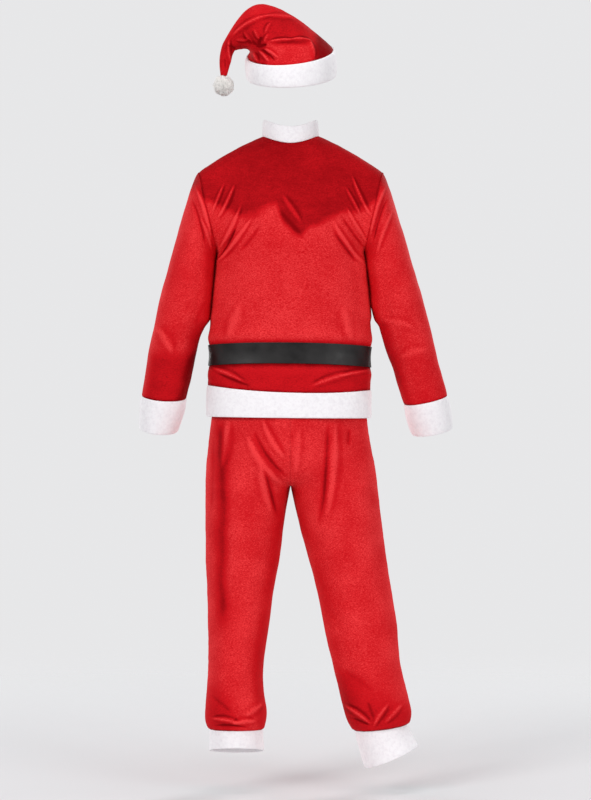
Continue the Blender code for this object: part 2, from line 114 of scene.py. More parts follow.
pale_floor, tree, shader = new_finish("pale_floor")
place = add(tree, "TexCoord", {}).outputs["Object"]
level = add(tree, "VectorMath", {0: place, 1: (1, 1, 0)}, operation="MULTIPLY").outputs["Vector"]
radius = add(tree, "VectorMath", {0: level}, operation="LENGTH").outputs["Value"]
fading = {"Value": radius, "From Min": FLOOR_GONE, "From Max": FLOOR_OPAQUE}
fade = add(tree, "MapRange", fading, interpolation_type="SMOOTHSTEP").outputs["Result"]
feed(tree, shader, {"Base Color": (0.74, 0.74, 0.75, 1), "Roughness": 0.9, "Alpha": fade})

bm = bmesh.new()
bmesh.ops.create_circle(bm, cap_ends=True, segments=96, radius=FLOOR_GONE)
bmesh.ops.translate(bm, verts=bm.verts[:], vec=(0, 0, FLOOR_Z))
smooth_object(bm, "floor", pale_floor)

SoftLight = namedtuple("SoftLight", "name place size power")
LIGHTS = [
    SoftLight("key", (3.4, 4.6, 1.6), 2.2, 155),
    SoftLight("fill", (-3.8, 4.4, 0.2), 2.6, 115),
    SoftLight("front_key", (-3.2, -4.6, 1.6), 2.2, 150),
    SoftLight("front_fill", (3.8, -4.2, 0.2), 2.6, 115),
    SoftLight("top", (0.0, 0.6, 3.4), 2.0, 45),
]
SUIT_MIDDLE = Vector((0, 0, -0.6))
for light in LIGHTS:
    lamp = bpy.data.lights.new(light.name, "AREA")
    lamp.size, lamp.energy = light.size, light.power
    holder = bpy.data.objects.new(light.name, lamp)
    holder.location = light.place
    holder.rotation_euler = (SUIT_MIDDLE - holder.location).to_track_quat("-Z", "Y").to_euler()
    scene.collection.objects.link(holder)

camera = bpy.data.objects.new("camera", bpy.data.cameras.new("camera"))
camera.data.lens = CAMERA_LENS
camera.location = CAMERA_PLACE
camera.rotation_euler = (math.pi / 2, 0, math.pi)
scene.collection.objects.link(camera)
scene.camera = camera

# ---------------------------------------------------------------------------------------------
# Hat crown: one tube of red velour, narrowing to a small open tip under the pompom, that flops over
# to the wearer's left. It is sewn into the plush band, and it buckles into a deep pinch where it turns
# down.
# ---------------------------------------------------------------------------------------------

VELOUR = 0.002  # wall of the red cloth
SEWN = (0.0007, 0.0007, 0.0010, 0.0013)  # how deep a panel's four edges turn in at their seams
ROUND = (0, 0, 0.0010, 0.0013)  # the same for a tube, which has only two
# The reds from dark to bright: the nap brushed flat, half raised and raised, and with them the painted
# shade and painted highlight.
DEEP_RED, FULL_RED, BRIGHT_RED = (0.24, 0.0008, 0.0028), (0.61, 0.007, 0.012), (0.88, 0.046, 0.050)
TURN = 2 * math.pi

DEEP_FOLD = 0.004  # height of a fold whose crest and flanks show fully
CREST_GLEAM, FLANK_SHADE, SEAM_SHADE = 0.52, 0.34, 0.35  # shares of the colour's range from dark to bright: painted highlight on fold crests, painted shade on their flanks and beside seams
SEAM_PUCKER = 0.0007
SOFTEN_PASSES = 160

Ring = namedtuple("Ring", "outer_x outer_z inner_x inner_z y depth back_rise")
HAT = [
    Ring(-0.104, 0.218, 0.104, 0.2, 0, 0.112, -0.042),  # head of the band
    Ring(-0.085, 0.237, 0.099, 0.209, 0, 0.107, -0.036),
    Ring(-0.06, 0.259, 0.0985, 0.215, 0, 0.1, -0.028),
    Ring(-0.03, 0.283, 0.102, 0.218, 0.003, 0.09, -0.02),
    Ring(0.002, 0.304, 0.107, 0.219, 0.006, 0.08, -0.012),
    Ring(0.037, 0.32, 0.113, 0.219, 0.01, 0.069, -0.006),
    Ring(0.072, 0.326, 0.119, 0.218, 0.013, 0.057, 0),
    Ring(0.1, 0.316, 0.1245, 0.217, 0.015, 0.046, 0),
    Ring(0.122, 0.294, 0.129, 0.2155, 0.016, 0.037, 0),
    Ring(0.146, 0.26, 0.133, 0.212, 0.018, 0.029, 0),
    Ring(0.164, 0.224, 0.1385, 0.204, 0.019, 0.021, 0),
    Ring(0.169, 0.19, 0.144, 0.187, 0.02, 0.014, 0),
    Ring(0.1655, 0.1515, 0.154, 0.1515, 0.02, 0.006, 0),  # tip, over the pompom
]
# The long crest that runs from the hat's back up over its crown and down to the tail, as x and z.
HAT_CREST = [
    (-0.100, 0.240), (-0.004, 0.296), (0.021, 0.301), (0.050, 0.302),
    (0.081, 0.294), (0.108, 0.282), (0.130, 0.265), (0.142, 0.250),
]
# A ridge (height above 0) or a trough (below 0) along a line seen from the back or the front. bow
# bends the line's middle to one side, and skew throws the fold over, so one flank is steeper.
Fold = namedtuple("Fold", "x0 z0 x1 z1 width height bow skew", defaults=(0.0, 0.35))
HAT_FOLDS = [
    Fold(0.1423, 0.2496, 0.046, 0.3017, 0.006, 0.0034, 0.01, 0.2),
    Fold(0.06, 0.3, -0.01, 0.2935, 0.006, 0.0026, 0.004, 0.2),
    Fold(0.146, 0.246, 0.145, 0.186, 0.005, 0.003, -0.003),
    Fold(0.0785, 0.2273, 0.07, 0.25, 0.006, -0.0046, 0.002),
    Fold(0.0785, 0.2273, 0.103, 0.244, 0.006, -0.003),
    Fold(0.09, 0.233, 0.112, 0.262, 0.005, 0.0026),
    Fold(0.074, 0.242, 0.088, 0.268, 0.005, 0.0026),
    Fold(0.061, 0.256, 0.047, 0.285, 0.005, 0.0026, 0.002),
    Fold(0.064, 0.236, 0.054, 0.256, 0.005, 0.0026),
    Fold(0.084, 0.225, 0.057, 0.233, 0.005, -0.0046),
    Fold(0.0519, 0.239, -0.0081, 0.243, 0.0045, 0.0036, 0.002, 0.6),
    Fold(0.002, 0.243, -0.0504, 0.2405, 0.0045, 0.0036, 0.003, 0.6),
    Fold(-0.047, 0.24, -0.056, 0.196, 0.005, 0.0028, 0.003, 0.4),
    Fold(0.048, 0.233, -0.044, 0.233, 0.008, -0.0022, 0.003),
    Fold(0.076, 0.218, 0.052, 0.19, 0.005, 0.004, 0.002),
    Fold(0.068, 0.22, 0.038, 0.193, 0.005, -0.0036, 0.002),
    Fold(0.064, 0.222, 0.03, 0.2, 0.005, 0.0034, 0.002),
    Fold(0.088, 0.213, 0.078, 0.19, 0.005, 0.0032),
    Fold(0.15, 0.23, 0.13, 0.22, 0.005, -0.0026),
    Fold(0.1, 0.242, 0.132, 0.244, 0.005, 0.0026),
    Fold(0.156, 0.17, 0.158, 0.2, 0.004, -0.0015),
]
HAT_FRONT_FOLDS = [
    Fold(0.13, 0.256, 0.03, 0.298, 0.008, 0.004, -0.012, 0.5),
    Fold(0.08, 0.222, 0.112, 0.268, 0.006, -0.005),
    Fold(0.09, 0.236, 0.07, 0.27, 0.006, 0.0036),
    Fold(0.074, 0.226, 0.04, 0.282, 0.006, 0.004, 0.003),
    Fold(0.07, 0.224, -0.01, 0.262, 0.007, -0.0045, 0.004),
    Fold(0.06, 0.222, -0.064, 0.232, 0.007, 0.004, 0.008),
    Fold(0, 0.29, -0.07, 0.236, 0.009, 0.003, -0.004),
    Fold(0.076, 0.216, 0.05, 0.19, 0.006, 0.0036, 0.002),
    Fold(0.15, 0.236, 0.13, 0.212, 0.005, -0.003),
]


def through(table, t):
    """Smooth curves through a table's rows, read at each t from 0 (first row) to 1 (last row)."""
    rows = np.array(table, float)
    place = np.clip(t, 0, 1) * (len(rows) - 1)
    index = np.minimum(place.astype(int), len(rows) - 2)
    s = (place - index)[:, None]
    before, start = rows[np.maximum(index - 1, 0)], rows[index]
    end, after = rows[index + 1], rows[np.minimum(index + 2, len(rows) - 1)]
    curve = start * (2 * s**3 - 3 * s**2 + 1) + (end - before) / 2 * (s**3 - 2 * s**2 + s)
    curve += end * (3 * s**2 - 2 * s**3) + (after - start) / 2 * (s**3 - s**2)
    return type(table[0])(*curve.T)


def on_ring(ring, angle, side, proud=0.0):
    """Points on rings across a limb or a head, from their outer ends (angle 0) by their backs."""
    half_x, half_z = side * (ring.outer_x - ring.inner_x) / 2, (ring.outer_z - ring.inner_z) / 2
    longer = 1 + proud / np.hypot(half_x, half_z)
    x = side * (ring.outer_x + ring.inner_x) / 2 + half_x * longer * np.cos(angle)
    z = (ring.outer_z + ring.inner_z) / 2 + half_z * longer * np.cos(angle)
    return np.stack(
        [x, ring.y + (ring.depth + proud) * np.sin(angle), z + ring.back_rise * np.sin(angle)], 1
    )


def ringed(table, side, proud=0.0, start=0.0):
    """The surface through a table of rings: u is once round them, and v runs from start to the last."""
    return lambda u, v: on_ring(through(table, start + (1 - start) * v), u * TURN, side, proud)


def smooth(value):
    """0 below 0, 1 above 1, and an even S between them."""
    value = np.clip(value, 0, 1)
    return value * value * (3 - 2 * value)


def bell(value, width):
    """1 at 0, falling evenly away on both sides."""
    return np.exp(-((value / width) ** 2))


def waves(points, length, seed=0.0):
    """Soft random waves of about this length, from -1 to 1, at each point."""
    return np.array([noise.noise(Vector(p) / length + Vector((seed, 3.1 * seed, -seed))) for p in points])


def as_seen(points):
    """x and z where the camera sees each point, on the plane y = 0, which is how folds are marked."""
    nearer = CAMERA_PLACE[1] / (CAMERA_PLACE[1] - points[:, 1])
    x = CAMERA_PLACE[0] + (points[:, 0] - CAMERA_PLACE[0]) * nearer
    return x, CAMERA_PLACE[2] + (points[:, 2] - CAMERA_PLACE[2]) * nearer


def line_height(line, x):
    """The height z at each x of a line given as pairs of x and z."""
    return np.interp(x, *np.transpose(line))


def raised(points, folds):
    """How far a list of folds lifts each point, and the painted highlight (above 0) and painted shade
    (below 0) that they give its colour.
    """
    x, z = as_seen(points)
    lift, painted_fold_light = np.zeros(len(points)), np.zeros(len(points))
    for fold in folds:
        run_x, run_z = fold.x1 - fold.x0, fold.z1 - fold.z0
        long = math.hypot(run_x, run_z)
        off_x, off_z = x - fold.x0, z - fold.z0
        along = (off_x * run_x + off_z * run_z) / long**2
        across = (off_x * run_z - off_z * run_x) / long
        between = np.clip(along, 0, 1)
        across = across - fold.bow * 4 * between * (1 - between)
        q = across / (fold.width * (0.55 + 0.45 * np.sin(between * math.pi)))
        ends = smooth(along / 0.28 + 0.25) * smooth((1 - along) / 0.28 + 0.25)
        lift += fold.height * ends * (1 - fold.skew * q) * np.exp(-np.abs(q) ** 1.6)
        deep = fold.height / DEEP_FOLD
        # painted highlight along each fold's crest, and painted shade on a ridge's flanks
        painted_fold_light += ends * CREST_GLEAM * deep * bell(q, 0.48)
        if deep > 0:
            painted_fold_light -= ends * FLANK_SHADE * deep * (bell(q - 1.25, 0.6) + 0.45 * bell(q + 1.3, 0.6))
    return lift, painted_fold_light


def folded(points, normals, back_folds, front_folds, sharp=1.6):
    """The lift and the painted highlight and shade of the folds behind and in front, and how far each point
    faces back.
    """
    behind = smooth(0.5 + sharp * normals[:, 1])
    back, front = raised(points, back_folds), raised(points, front_folds)
    lift, painted_fold_light = (at_back * behind + at_front * (1 - behind) for at_back, at_front in zip(back, front))
    return lift, painted_fold_light, behind


def facing(surface, u, v):
    """The surface's normal and its size along u and v at each point."""
    step = 1e-4
    u, v = np.clip(u, step, 1 - step), np.clip(v, step, 1 - step)
    along_u = (surface(u + step, v) - surface(u - step, v)) / (2 * step)
    along_v = (surface(u, v + step) - surface(u, v - step)) / (2 * step)
    normal = np.cross(along_u, along_v)
    normal /= np.linalg.norm(normal, axis=1)[:, None] + 1e-12
    return normal, np.linalg.norm(along_u, axis=1), np.linalg.norm(along_v, axis=1)


def laid_cloth(
    name, surface, columns, rows, outward, shape, material,
    ring=False, rolls=SEWN, wall=VELOUR, soften=None,
):
    """A cloth laid on surface(u, v), with its edges rolled in at the seams and a wall from Solidify.

    rolls are the depths that its edges turn in: at the start and end of u, then of v. soften(points)
    is 1 where the surface's own corners are smoothed out.

    shape(points, normals, u, v) gives how far each point is lifted off the surface, and its colour's
    shade, from 0 (dark) to 1 (bright): the nap's tone, with the painted highlight and painted shade of
    folds and hollows. Beside the seams a painted shade darkens it. It is kept on the mesh for the material.
    """
    bm = bmesh.new()
    bm.loops.layers.uv.new("UVMap")
    bmesh.ops.create_grid(bm, x_segments=columns, y_segments=rows, size=0.5, calc_uvs=True)
    if outward < 0:
        bmesh.ops.reverse_faces(bm, faces=bm.faces[:])
    flat = np.array([vertex.co[:2] for vertex in bm.verts]) + 0.5

    def closer(t, count):
        """The first and last three rows drawn closer to the edge, where the cloth rolls in."""
        end = 3 / count
        from_edge = np.minimum(t, 1 - t)
        drawn = np.where(from_edge < end, end * (from_edge / end) ** 1.6, from_edge)
        return np.where(t < 0.5, drawn, 1 - drawn)

    u = flat[:, 0] if ring else closer(flat[:, 0], columns)
    v = closer(flat[:, 1], rows)
    if ring:
        u = np.where(u > 1 - 1e-6, 0.0, u)
    points = surface(u, v)
    normals, size_u, size_v = facing(surface, u, v)
    normals *= outward
    if soften:
        order = np.lexsort((flat[:, 0], flat[:, 1]))
        net, firm = points[order].reshape(rows + 1, columns + 1, 3), soften(points)
        weight = 0.5 * firm[order].reshape(rows + 1, columns + 1, 1)[1:-1, 1:-1]
        for _ in range(SOFTEN_PASSES):
            around = net[:-2, 1:-1] + net[2:, 1:-1] + net[1:-1, :-2] + net[1:-1, 2:]
            net[1:-1, 1:-1] += weight * (around / 4 - net[1:-1, 1:-1])
        points[order] = net.reshape(-1, 3)
        across = np.cross(np.gradient(net, axis=1), np.gradient(net, axis=0)).reshape(-1, 3)
        normals[order] = outward * across / (np.linalg.norm(across, axis=1)[:, None] + 1e-12)
    lift, nap_and_painted_light = shape(points, normals, u, v)
    rolled_in, seam_shade = np.zeros(len(points)), np.zeros(len(points))
    for depth, edge in zip(rolls, (u * size_u, (1 - u) * size_u, v * size_v, (1 - v) * size_v)):
        if depth == 0:
            continue
        lift = lift * smooth(edge / 0.006 + 0.15)
        lift += waves(points, 0.011, 5.0) * np.exp(-edge / 0.010) * SEAM_PUCKER
        rolled_in = np.maximum(rolled_in, depth * bell(edge, 1.7 * depth))
        seam_shade = np.maximum(seam_shade, bell(edge, 0.0045))
    points += normals * (lift - rolled_in)[:, None]
    for vertex, point in zip(bm.verts, points):
        vertex.co = point
    layer = bm.verts.layers.float.new("nap_and_painted_light")
    # painted shade beside the seams
    for vertex, value in zip(bm.verts, nap_and_painted_light - SEAM_SHADE * seam_shade):
        vertex[layer] = value
    if ring:
        bmesh.ops.remove_doubles(bm, verts=bm.verts[:], dist=1e-6)
    piece = smooth_object(bm, name, material)
    solid = piece.modifiers.new("wall", "SOLIDIFY")
    solid.thickness, solid.offset = wall, -1
    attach(piece, "root")
    return piece


def velour(name):
    """Red velour. Its shade, the nap's tone with painted highlight and painted shade, is read from the
    mesh, and broken up by blotches and fine grain.
    """
    material, tree, shader = new_finish(name)
    place = add(tree, "TexCoord", {}).outputs["Object"]

    def grain(scale, stretch, detail):
        longer = add(tree, "Mapping", {"Vector": place, "Scale": stretch}).outputs["Vector"]
        pattern = {"Vector": longer, "Scale": scale, "Detail": detail, "Roughness": 0.6}
        return add(tree, "TexNoise", pattern).outputs["Fac"]

    def worked(operation, *values):
        """The result of this operation on outputs and numbers."""
        return add(tree, "Math", dict(enumerate(values)), operation=operation).outputs["Value"]

    def mottled(shade, pattern, amount):
        """shade + (pattern - 0.5) x amount"""
        return worked("ADD", shade, worked("MULTIPLY_ADD", pattern, amount, -0.5 * amount))

    nap_and_painted_light = add(tree, "Attribute", {}, attribute_name="nap_and_painted_light").outputs["Fac"]
    fine = grain(560, (0.45, 0.8, 1.5), 2)
    shade = mottled(nap_and_painted_light, grain(34, (0.8, 0.8, 1.4), 3), 0.16)
    standing = worked("MULTIPLY", worked("SUBTRACT", fine, 0.5), shade)  # less grain where the colour is darker, from flat nap and from painted shade
    shade = worked("MULTIPLY_ADD", standing, 2.1, shade)
    shade = mottled(shade, grain(140, (0.4, 1.0, 2.2), 3), 0.20)
    ramp = add(tree, "ValToRGB", {"Fac": shade})
    ramp.color_ramp.interpolation = "EASE"
    ramp.color_ramp.elements[0].color = (*DEEP_RED, 1)
    ramp.color_ramp.elements[1].color = (*BRIGHT_RED, 1)
    ramp.color_ramp.elements.new(0.5).color = (*FULL_RED, 1)
    bump = add(tree, "Bump", {"Strength": 0.35, "Distance": 0.0012, "Height": fine})
    feed(tree, shader, {
        "Base Color": ramp.outputs["Color"],
        "Normal": bump.outputs["Normal"],
        "Roughness": 0.72,
        "Specular IOR Level": 0.03,
        "Sheen Weight": 0.03,
        "Sheen Roughness": 0.35,
        "Sheen Tint": (1.0, 0.22, 0.20, 1),
    })
    return material


def hat_shape(points, normals, u, v):
    lift, painted_fold_light, behind = folded(points, normals, HAT_FOLDS, HAT_FRONT_FOLDS, sharp=1.4)
    tail = smooth((v - 0.75) / 0.2)
    slack = 0.0016 * waves(points, 0.045, 1.0) + 0.0006 * waves(points, 0.018, 2.0)
    lift += slack * (1 - 0.75 * tail) + 0.0012 * tail
    x, z = as_seen(points)
    pocket = smooth((x + 0.056) / 0.008) * smooth((0.064 - x) / 0.010) * smooth((0.2430 - z) / 0.010)
    over_crest = smooth((z - line_height(HAT_CREST, x)) / 0.006)
    # Painted light and shade: brighter where the folds lift and along the long crest, darker in the troughs
    # and towards the hat's right end. It is also brighter in the pocket under the rim and down the tail.
    nap_and_painted_light = 0.34 + 0.32 * pocket * behind + 0.16 * over_crest + 0.08 * tail
    nap_and_painted_light += 0.10 * waves(points, 0.03, 3.0) - 0.34 * smooth((-0.055 - x) / 0.02)
    return lift, nap_and_painted_light + 25 * lift + painted_fold_light


hat_crown = laid_cloth(
    "red_hat_crown", ringed(HAT, 1, start=0.004), 236, 190, -1, hat_shape, velour("hat_velour"),
    ring=True, rolls=ROUND,
)
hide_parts("hat_crown")

# ---------------------------------------------------------------------------------------------
# Hat band: a strip of white plush, folded over and sewn round the hat's foot, with soft round edges.
# ---------------------------------------------------------------------------------------------

PROUD = 0.0025  # how far the plush stands out of the red cloth beside it
PLUSH = 0.006  # wall of the white trim, pile included
HAT_BAND_PROUD, HAT_BAND_WALL = 0.004, 0.008  # thicker than the other bands
PUFFS = [(0.0011, 0.030, 7.0), (0.0005, 0.009, 8.0), (0.0003, 0.0045, 9.0)]  # height, length, seed
HAT_BAND = [
    Ring(-0.1065, 0.158, 0.1015, 0.149, 0, 0.113, -0.038),
    Ring(-0.1065, 0.188, 0.1045, 0.175, 0, 0.114, -0.041),
    Ring(-0.104, 0.218, 0.104, 0.2, 0, 0.112, -0.042),
]


def plush(name, colour=(0.95, 0.92, 0.94), shade=(0.86, 0.82, 0.85)):
    """White short-pile plush: soft, matt, with a fine dense pile."""
    material, tree, shader = new_finish(name)
    place = add(tree, "TexCoord", {}).outputs["Object"]
    pile = add(tree, "TexNoise", {"Vector": place, "Scale": 520, "Detail": 3}).outputs["Fac"]
    clumps = {"Vector": place, "Scale": 120, "Detail": 4, "Roughness": 0.65}
    tufts = add(tree, "TexNoise", clumps).outputs["Fac"]
    height = add(tree, "Math", {0: pile, 1: tufts}, operation="ADD").outputs["Value"]
    ramp = add(tree, "ValToRGB", {"Fac": tufts})
    for stop, at, tint in zip(ramp.color_ramp.elements, (0.28, 0.56), (shade, colour)):
        stop.position, stop.color = at, (*tint, 1)
    bump = add(tree, "Bump", {"Strength": 0.45, "Distance": 0.0016, "Height": height})
    feed(tree, shader, {
        "Base Color": ramp.outputs["Color"],
        "Normal": bump.outputs["Normal"],
        "Roughness": 0.95,
        "Specular IOR Level": 0.15,
        "Sheen Weight": 0.35,
        "Sheen Roughness": 0.5,
    })
    return material


def plush_band(name, surface, columns, around, outward, material, ring=True, over=0.0, wall=PLUSH):
    """A padded band along surface(u, v), closed all round its section, with soft round edges.

    The section runs up the outer face and down the inner one. over is how far, as a share of its
    width, the band goes past the surface's edges. A band with ends has them rounded and filled.
    """
    bm = bmesh.new()
    bm.loops.layers.uv.new("UVMap")
    bmesh.ops.create_grid(bm, x_segments=columns, y_segments=around, size=0.5, calc_uvs=True)
    flat = np.array([vertex.co[:2] for vertex in bm.verts]) + 0.5
    u, turn = flat[:, 0], flat[:, 1] * TURN
    turn = np.where(flat[:, 1] > 1 - 1e-6, 0.0, turn)
    if ring:
        u = np.where(u > 1 - 1e-6, 0.0, u)
    up = np.sign(np.cos(turn)) * np.abs(np.cos(turn)) ** 0.55
    out = np.sign(np.sin(turn)) * np.abs(np.sin(turn)) ** 0.62
    v = 0.5 + 0.5 * up * (1 + 2 * over)
    inside_v = np.clip(v, 0, 1)
    normals, size_u, _ = facing(surface, u, inside_v)
    normals *= outward
    width = surface(u, np.ones(len(u))) - surface(u, np.zeros(len(u)))
    closing = np.ones(len(u))
    if not ring:
        from_end = np.minimum(u, 1 - u) * size_u
        closing = np.sqrt(1 - (1 - np.clip(from_end / (wall / 2), 0, 1)) ** 2)
        closing = np.maximum(closing, 0.12)
    v = 0.5 + (v - 0.5) * (0.93 + 0.07 * closing)
    points = surface(u, inside_v) + width * (v - inside_v)[:, None]
    puffed = sum(height * waves(points, length, seed) for height, length, seed in PUFFS)
    points += normals * (puffed * out - wall / 2 * (1 - out * closing))[:, None]
    for vertex, point in zip(bm.verts, points):
        vertex.co = point
    bmesh.ops.remove_doubles(bm, verts=bm.verts[:], dist=1e-6)
    if not ring:
        bmesh.ops.holes_fill(bm, edges=bm.edges[:], sides=0)
    bmesh.ops.recalc_face_normals(bm, faces=bm.faces[:])
    piece = smooth_object(bm, name, material)
    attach(piece, "root")
    return piece


hat_band = plush_band(
    "white_hat_band", ringed(HAT_BAND, 1, HAT_BAND_PROUD), 220, 44, -1, plush("hat_plush"),
    over=0.03, wall=HAT_BAND_WALL,
)
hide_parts("hat_band")

# ---------------------------------------------------------------------------------------------
# Pompom: a ball of cream pile, cut from a bundle of yarn and sewn to the hat's tip. Each tuft is
# drawn out of the core and leans its own way.
# ---------------------------------------------------------------------------------------------

POMPOM_CENTRE, POMPOM_RADIUS = Vector((0.1600, 0.020, 0.1300)), 0.0242
TUFT_LEAN, TUFT_TAPER = 0.003, 0.42

bm = bmesh.new()
bmesh.ops.create_icosphere(bm, subdivisions=5, radius=POMPOM_RADIUS * 0.90)
tufts = bmesh.ops.extrude_discrete_faces(bm, faces=bm.faces[:])["faces"]
for tuft in tufts:
    root = tuft.calc_center_median()
    lean = Vector([noise.noise(root * 160 + Vector((k, 0, 0))) for k in (0, 7, 13)])
    clump = 1 + 0.10 * noise.noise(root * 110)
    reach = POMPOM_RADIUS * (0.10 + 0.05 * noise.noise(root * 900)) * clump
    tip = root + root.normalized() * reach + lean * TUFT_LEAN
    for corner in tuft.verts:
        corner.co = tip + (corner.co - root) * TUFT_TAPER
bmesh.ops.translate(bm, verts=bm.verts[:], vec=POMPOM_CENTRE)
pompom_pile = plush("pompom_pile", (1.0, 0.97, 0.94), (0.98, 0.94, 0.90))
pompom = smooth_object(bm, "white_pompom", pompom_pile)
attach(pompom, "root")
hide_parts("pompom")

# ---------------------------------------------------------------------------------------------
# Jacket body: a back and two fronts of red velour, seamed at the sides and shoulders. Pulls run from
# the armholes towards the middle of the back, and the belt nips the cloth in at the waist.
# ---------------------------------------------------------------------------------------------

Torso = namedtuple("Torso", "z left right back front dip lean")
JACKET = [
    Torso(-0.662, 0.2005, 0.192, 0.122, 0.13, 0.001, 0.002),  # foot of the hem band
    Torso(-0.593, 0.1985, 0.192, 0.119, 0.129, 0.012, 0.006),  # head of the hem band
    Torso(-0.55, 0.1955, 0.1915, 0.116, 0.127, 0.004, 0.003),
    Torso(-0.515, 0.1925, 0.1895, 0.113, 0.125, 0, 0.002),  # under the belt
    Torso(-0.47, 0.1955, 0.194, 0.117, 0.13, 0, 0),
    Torso(-0.4, 0.188, 0.1895, 0.121, 0.135, 0, 0),
    Torso(-0.33, 0.1805, 0.183, 0.125, 0.137, 0, 0),
    Torso(-0.27, 0.1755, 0.1765, 0.128, 0.136, 0, 0),  # underarms
]
TRUNK_POWER = 2.3  # how square the trunk's oval is
QUARTER = math.pi / 2
HEM_SHARE = 1 / (len(JACKET) - 1)  # of the trunk's table, under the red cloth
TRUNK_SHARE = 0.54  # of a panel's height, below the underarms
NECK_HALF_WIDTH = 0.066
NECK_BACK, NECK_FRONT = 0.058, 0.075
NECK_SIDE_Z = 0.012
NECK_BACK_DROP, NECK_FRONT_DROP = 0.0195, 0.067
NECK_SHARE = 0.36  # of the panel's half width, at the neckline
SHOULDER_X, SHOULDER_Z = 0.2218, -0.0780
SHOULDER_ARCH = 0.006
ARMHOLE_DEPTH = 0.085
BELT_WIDTH, BELT_WALL = 0.049, 0.0025
BELT_GAP = 0.0008
BELT_Z, BELT_ARCH, BELT_TILT = -0.5168, 0.0060, 0.0022

BACK_FOLDS = [
    Fold(0.16, -0.104, 0.187, -0.168, 0.0048, 0.0032),
    Fold(0.135, -0.106, 0.176, -0.188, 0.0056, 0.0036, 0.003),
    Fold(0.119, -0.155, 0.172, -0.259, 0.0058, 0.0036, 0.004),
    Fold(0.092, -0.184, 0.175, -0.291, 0.006, 0.0038, 0.003),
    Fold(0.1306, -0.207, 0.1765, -0.287, 0.0058, -0.004, 0.002),
    Fold(0.075, -0.205, 0.12, -0.262, 0.009, -0.0026, 0.002),
    Fold(0.019, -0.131, -0.026, -0.196, 0.0075, 0.0024),
    Fold(0.026, -0.166, -0.034, -0.236, 0.0105, -0.0015),
    Fold(-0.148, -0.085, -0.193, -0.18, 0.0055, 0.0034, -0.003),
    Fold(-0.133, -0.112, -0.169, -0.18, 0.005, 0.003),
    Fold(-0.135, -0.16, -0.183, -0.24, 0.0054, 0.0034, -0.003),
    Fold(-0.103, -0.193, -0.174, -0.296, 0.0066, 0.0036, -0.004),
    Fold(-0.122, -0.18, -0.176, -0.256, 0.0055, -0.0034),
    Fold(-0.102, -0.214, -0.158, -0.29, 0.007, -0.0032),
    Fold(0.187, -0.544, 0.108, -0.581, 0.007, 0.003, 0.003),
    Fold(0.175, -0.557, 0.095, -0.589, 0.006, -0.0024),
    Fold(-0.049, -0.589, -0.148, -0.556, 0.008, 0.003, 0.003),
    Fold(-0.12, -0.563, -0.19, -0.549, 0.006, 0.0028),
    Fold(0.15, -0.475, 0.12, -0.39, 0.014, 0.0016),
    Fold(-0.145, -0.478, -0.125, -0.4, 0.014, 0.0016),
]
FRONT_FOLDS = [
    Fold(0.165, -0.11, 0.118, -0.16, 0.008, 0.0038, 0.003),
    Fold(0.172, -0.165, 0.105, -0.205, 0.009, 0.0044, 0.004),
    Fold(0.17, -0.225, 0.095, -0.245, 0.01, 0.004, 0.004),
    Fold(0.155, -0.2, 0.11, -0.228, 0.007, -0.0034),
    Fold(0.12, -0.495, 0.135, -0.4, 0.012, 0.0024),
    Fold(0.07, -0.495, 0.078, -0.43, 0.01, 0.0022),
    Fold(0.165, -0.55, 0.09, -0.578, 0.008, 0.003, 0.003),
    Fold(-0.168, -0.105, -0.125, -0.17, 0.008, 0.0038, -0.003),
    Fold(-0.17, -0.18, -0.098, -0.222, 0.009, 0.0044, -0.004),
    Fold(-0.165, -0.245, -0.085, -0.258, 0.01, 0.0036, -0.004),
    Fold(-0.15, -0.215, -0.105, -0.243, 0.007, -0.0034),
    Fold(-0.13, -0.495, -0.12, -0.41, 0.012, 0.0024),
    Fold(-0.06, -0.495, -0.072, -0.44, 0.01, 0.0022),
    Fold(-0.06, -0.585, -0.15, -0.56, 0.008, 0.003, -0.003),
]
# The colour is dark over the yoke down to this line across the back, as x and z: partly nap laid flat,
# partly painted shade over the upper back.
YOKE_LINE = [
    (-0.2295, -0.1215), (-0.190, -0.161), (-0.151, -0.171), (-0.117, -0.173), (-0.078, -0.196),
    (-0.048, -0.212), (-0.029, -0.228), (-0.009, -0.220), (0.015, -0.200), (0.035, -0.149),
    (0.069, -0.168), (0.104, -0.185), (0.133, -0.180), (0.167, -0.156), (0.216, -0.136),
]


def squarer(value):
    return np.sign(value) * np.abs(value) ** (2 / TRUNK_POWER)


def on_trunk(angle, t, proud=0.0):
    """Points on the trunk, by their angle from the wearer's left by the back."""
    ring = through(JACKET, t)
    across, deep = squarer(np.cos(angle)), squarer(np.sin(angle))
    width = np.where(across > 0, ring.left, ring.right) + proud
    depth = np.where(deep > 0, ring.back, ring.front) + proud
    height = ring.z - ring.dip * np.sin(angle) ** 2 + ring.lean * across
    return np.stack([width * across, depth * deep, height], 1)


def on_neckline(reach, side, face):
    """Points on the neckline, from the centre back or front (0) to the neck's side (1)."""
    angle = reach * QUARTER
    deep = np.where(face > 0, NECK_BACK, NECK_FRONT)
    drop = np.where(face > 0, NECK_BACK_DROP, NECK_FRONT_DROP)
    x, y = side * NECK_HALF_WIDTH * np.sin(angle), face * deep * np.cos(angle)
    return np.stack([x, y, NECK_SIDE_Z - drop * np.cos(angle) ** 2], 1)


def hermite(start, end, start_slope, end_slope, t):
    """A smooth curve between two points that leaves and arrives along the two slopes."""
    t = t[:, None]
    curve = start * (2 * t**3 - 3 * t**2 + 1) + start_slope * (t**3 - 2 * t**2 + t)
    return curve + end * (3 * t**2 - 2 * t**3) + end_slope * (t**3 - t**2)


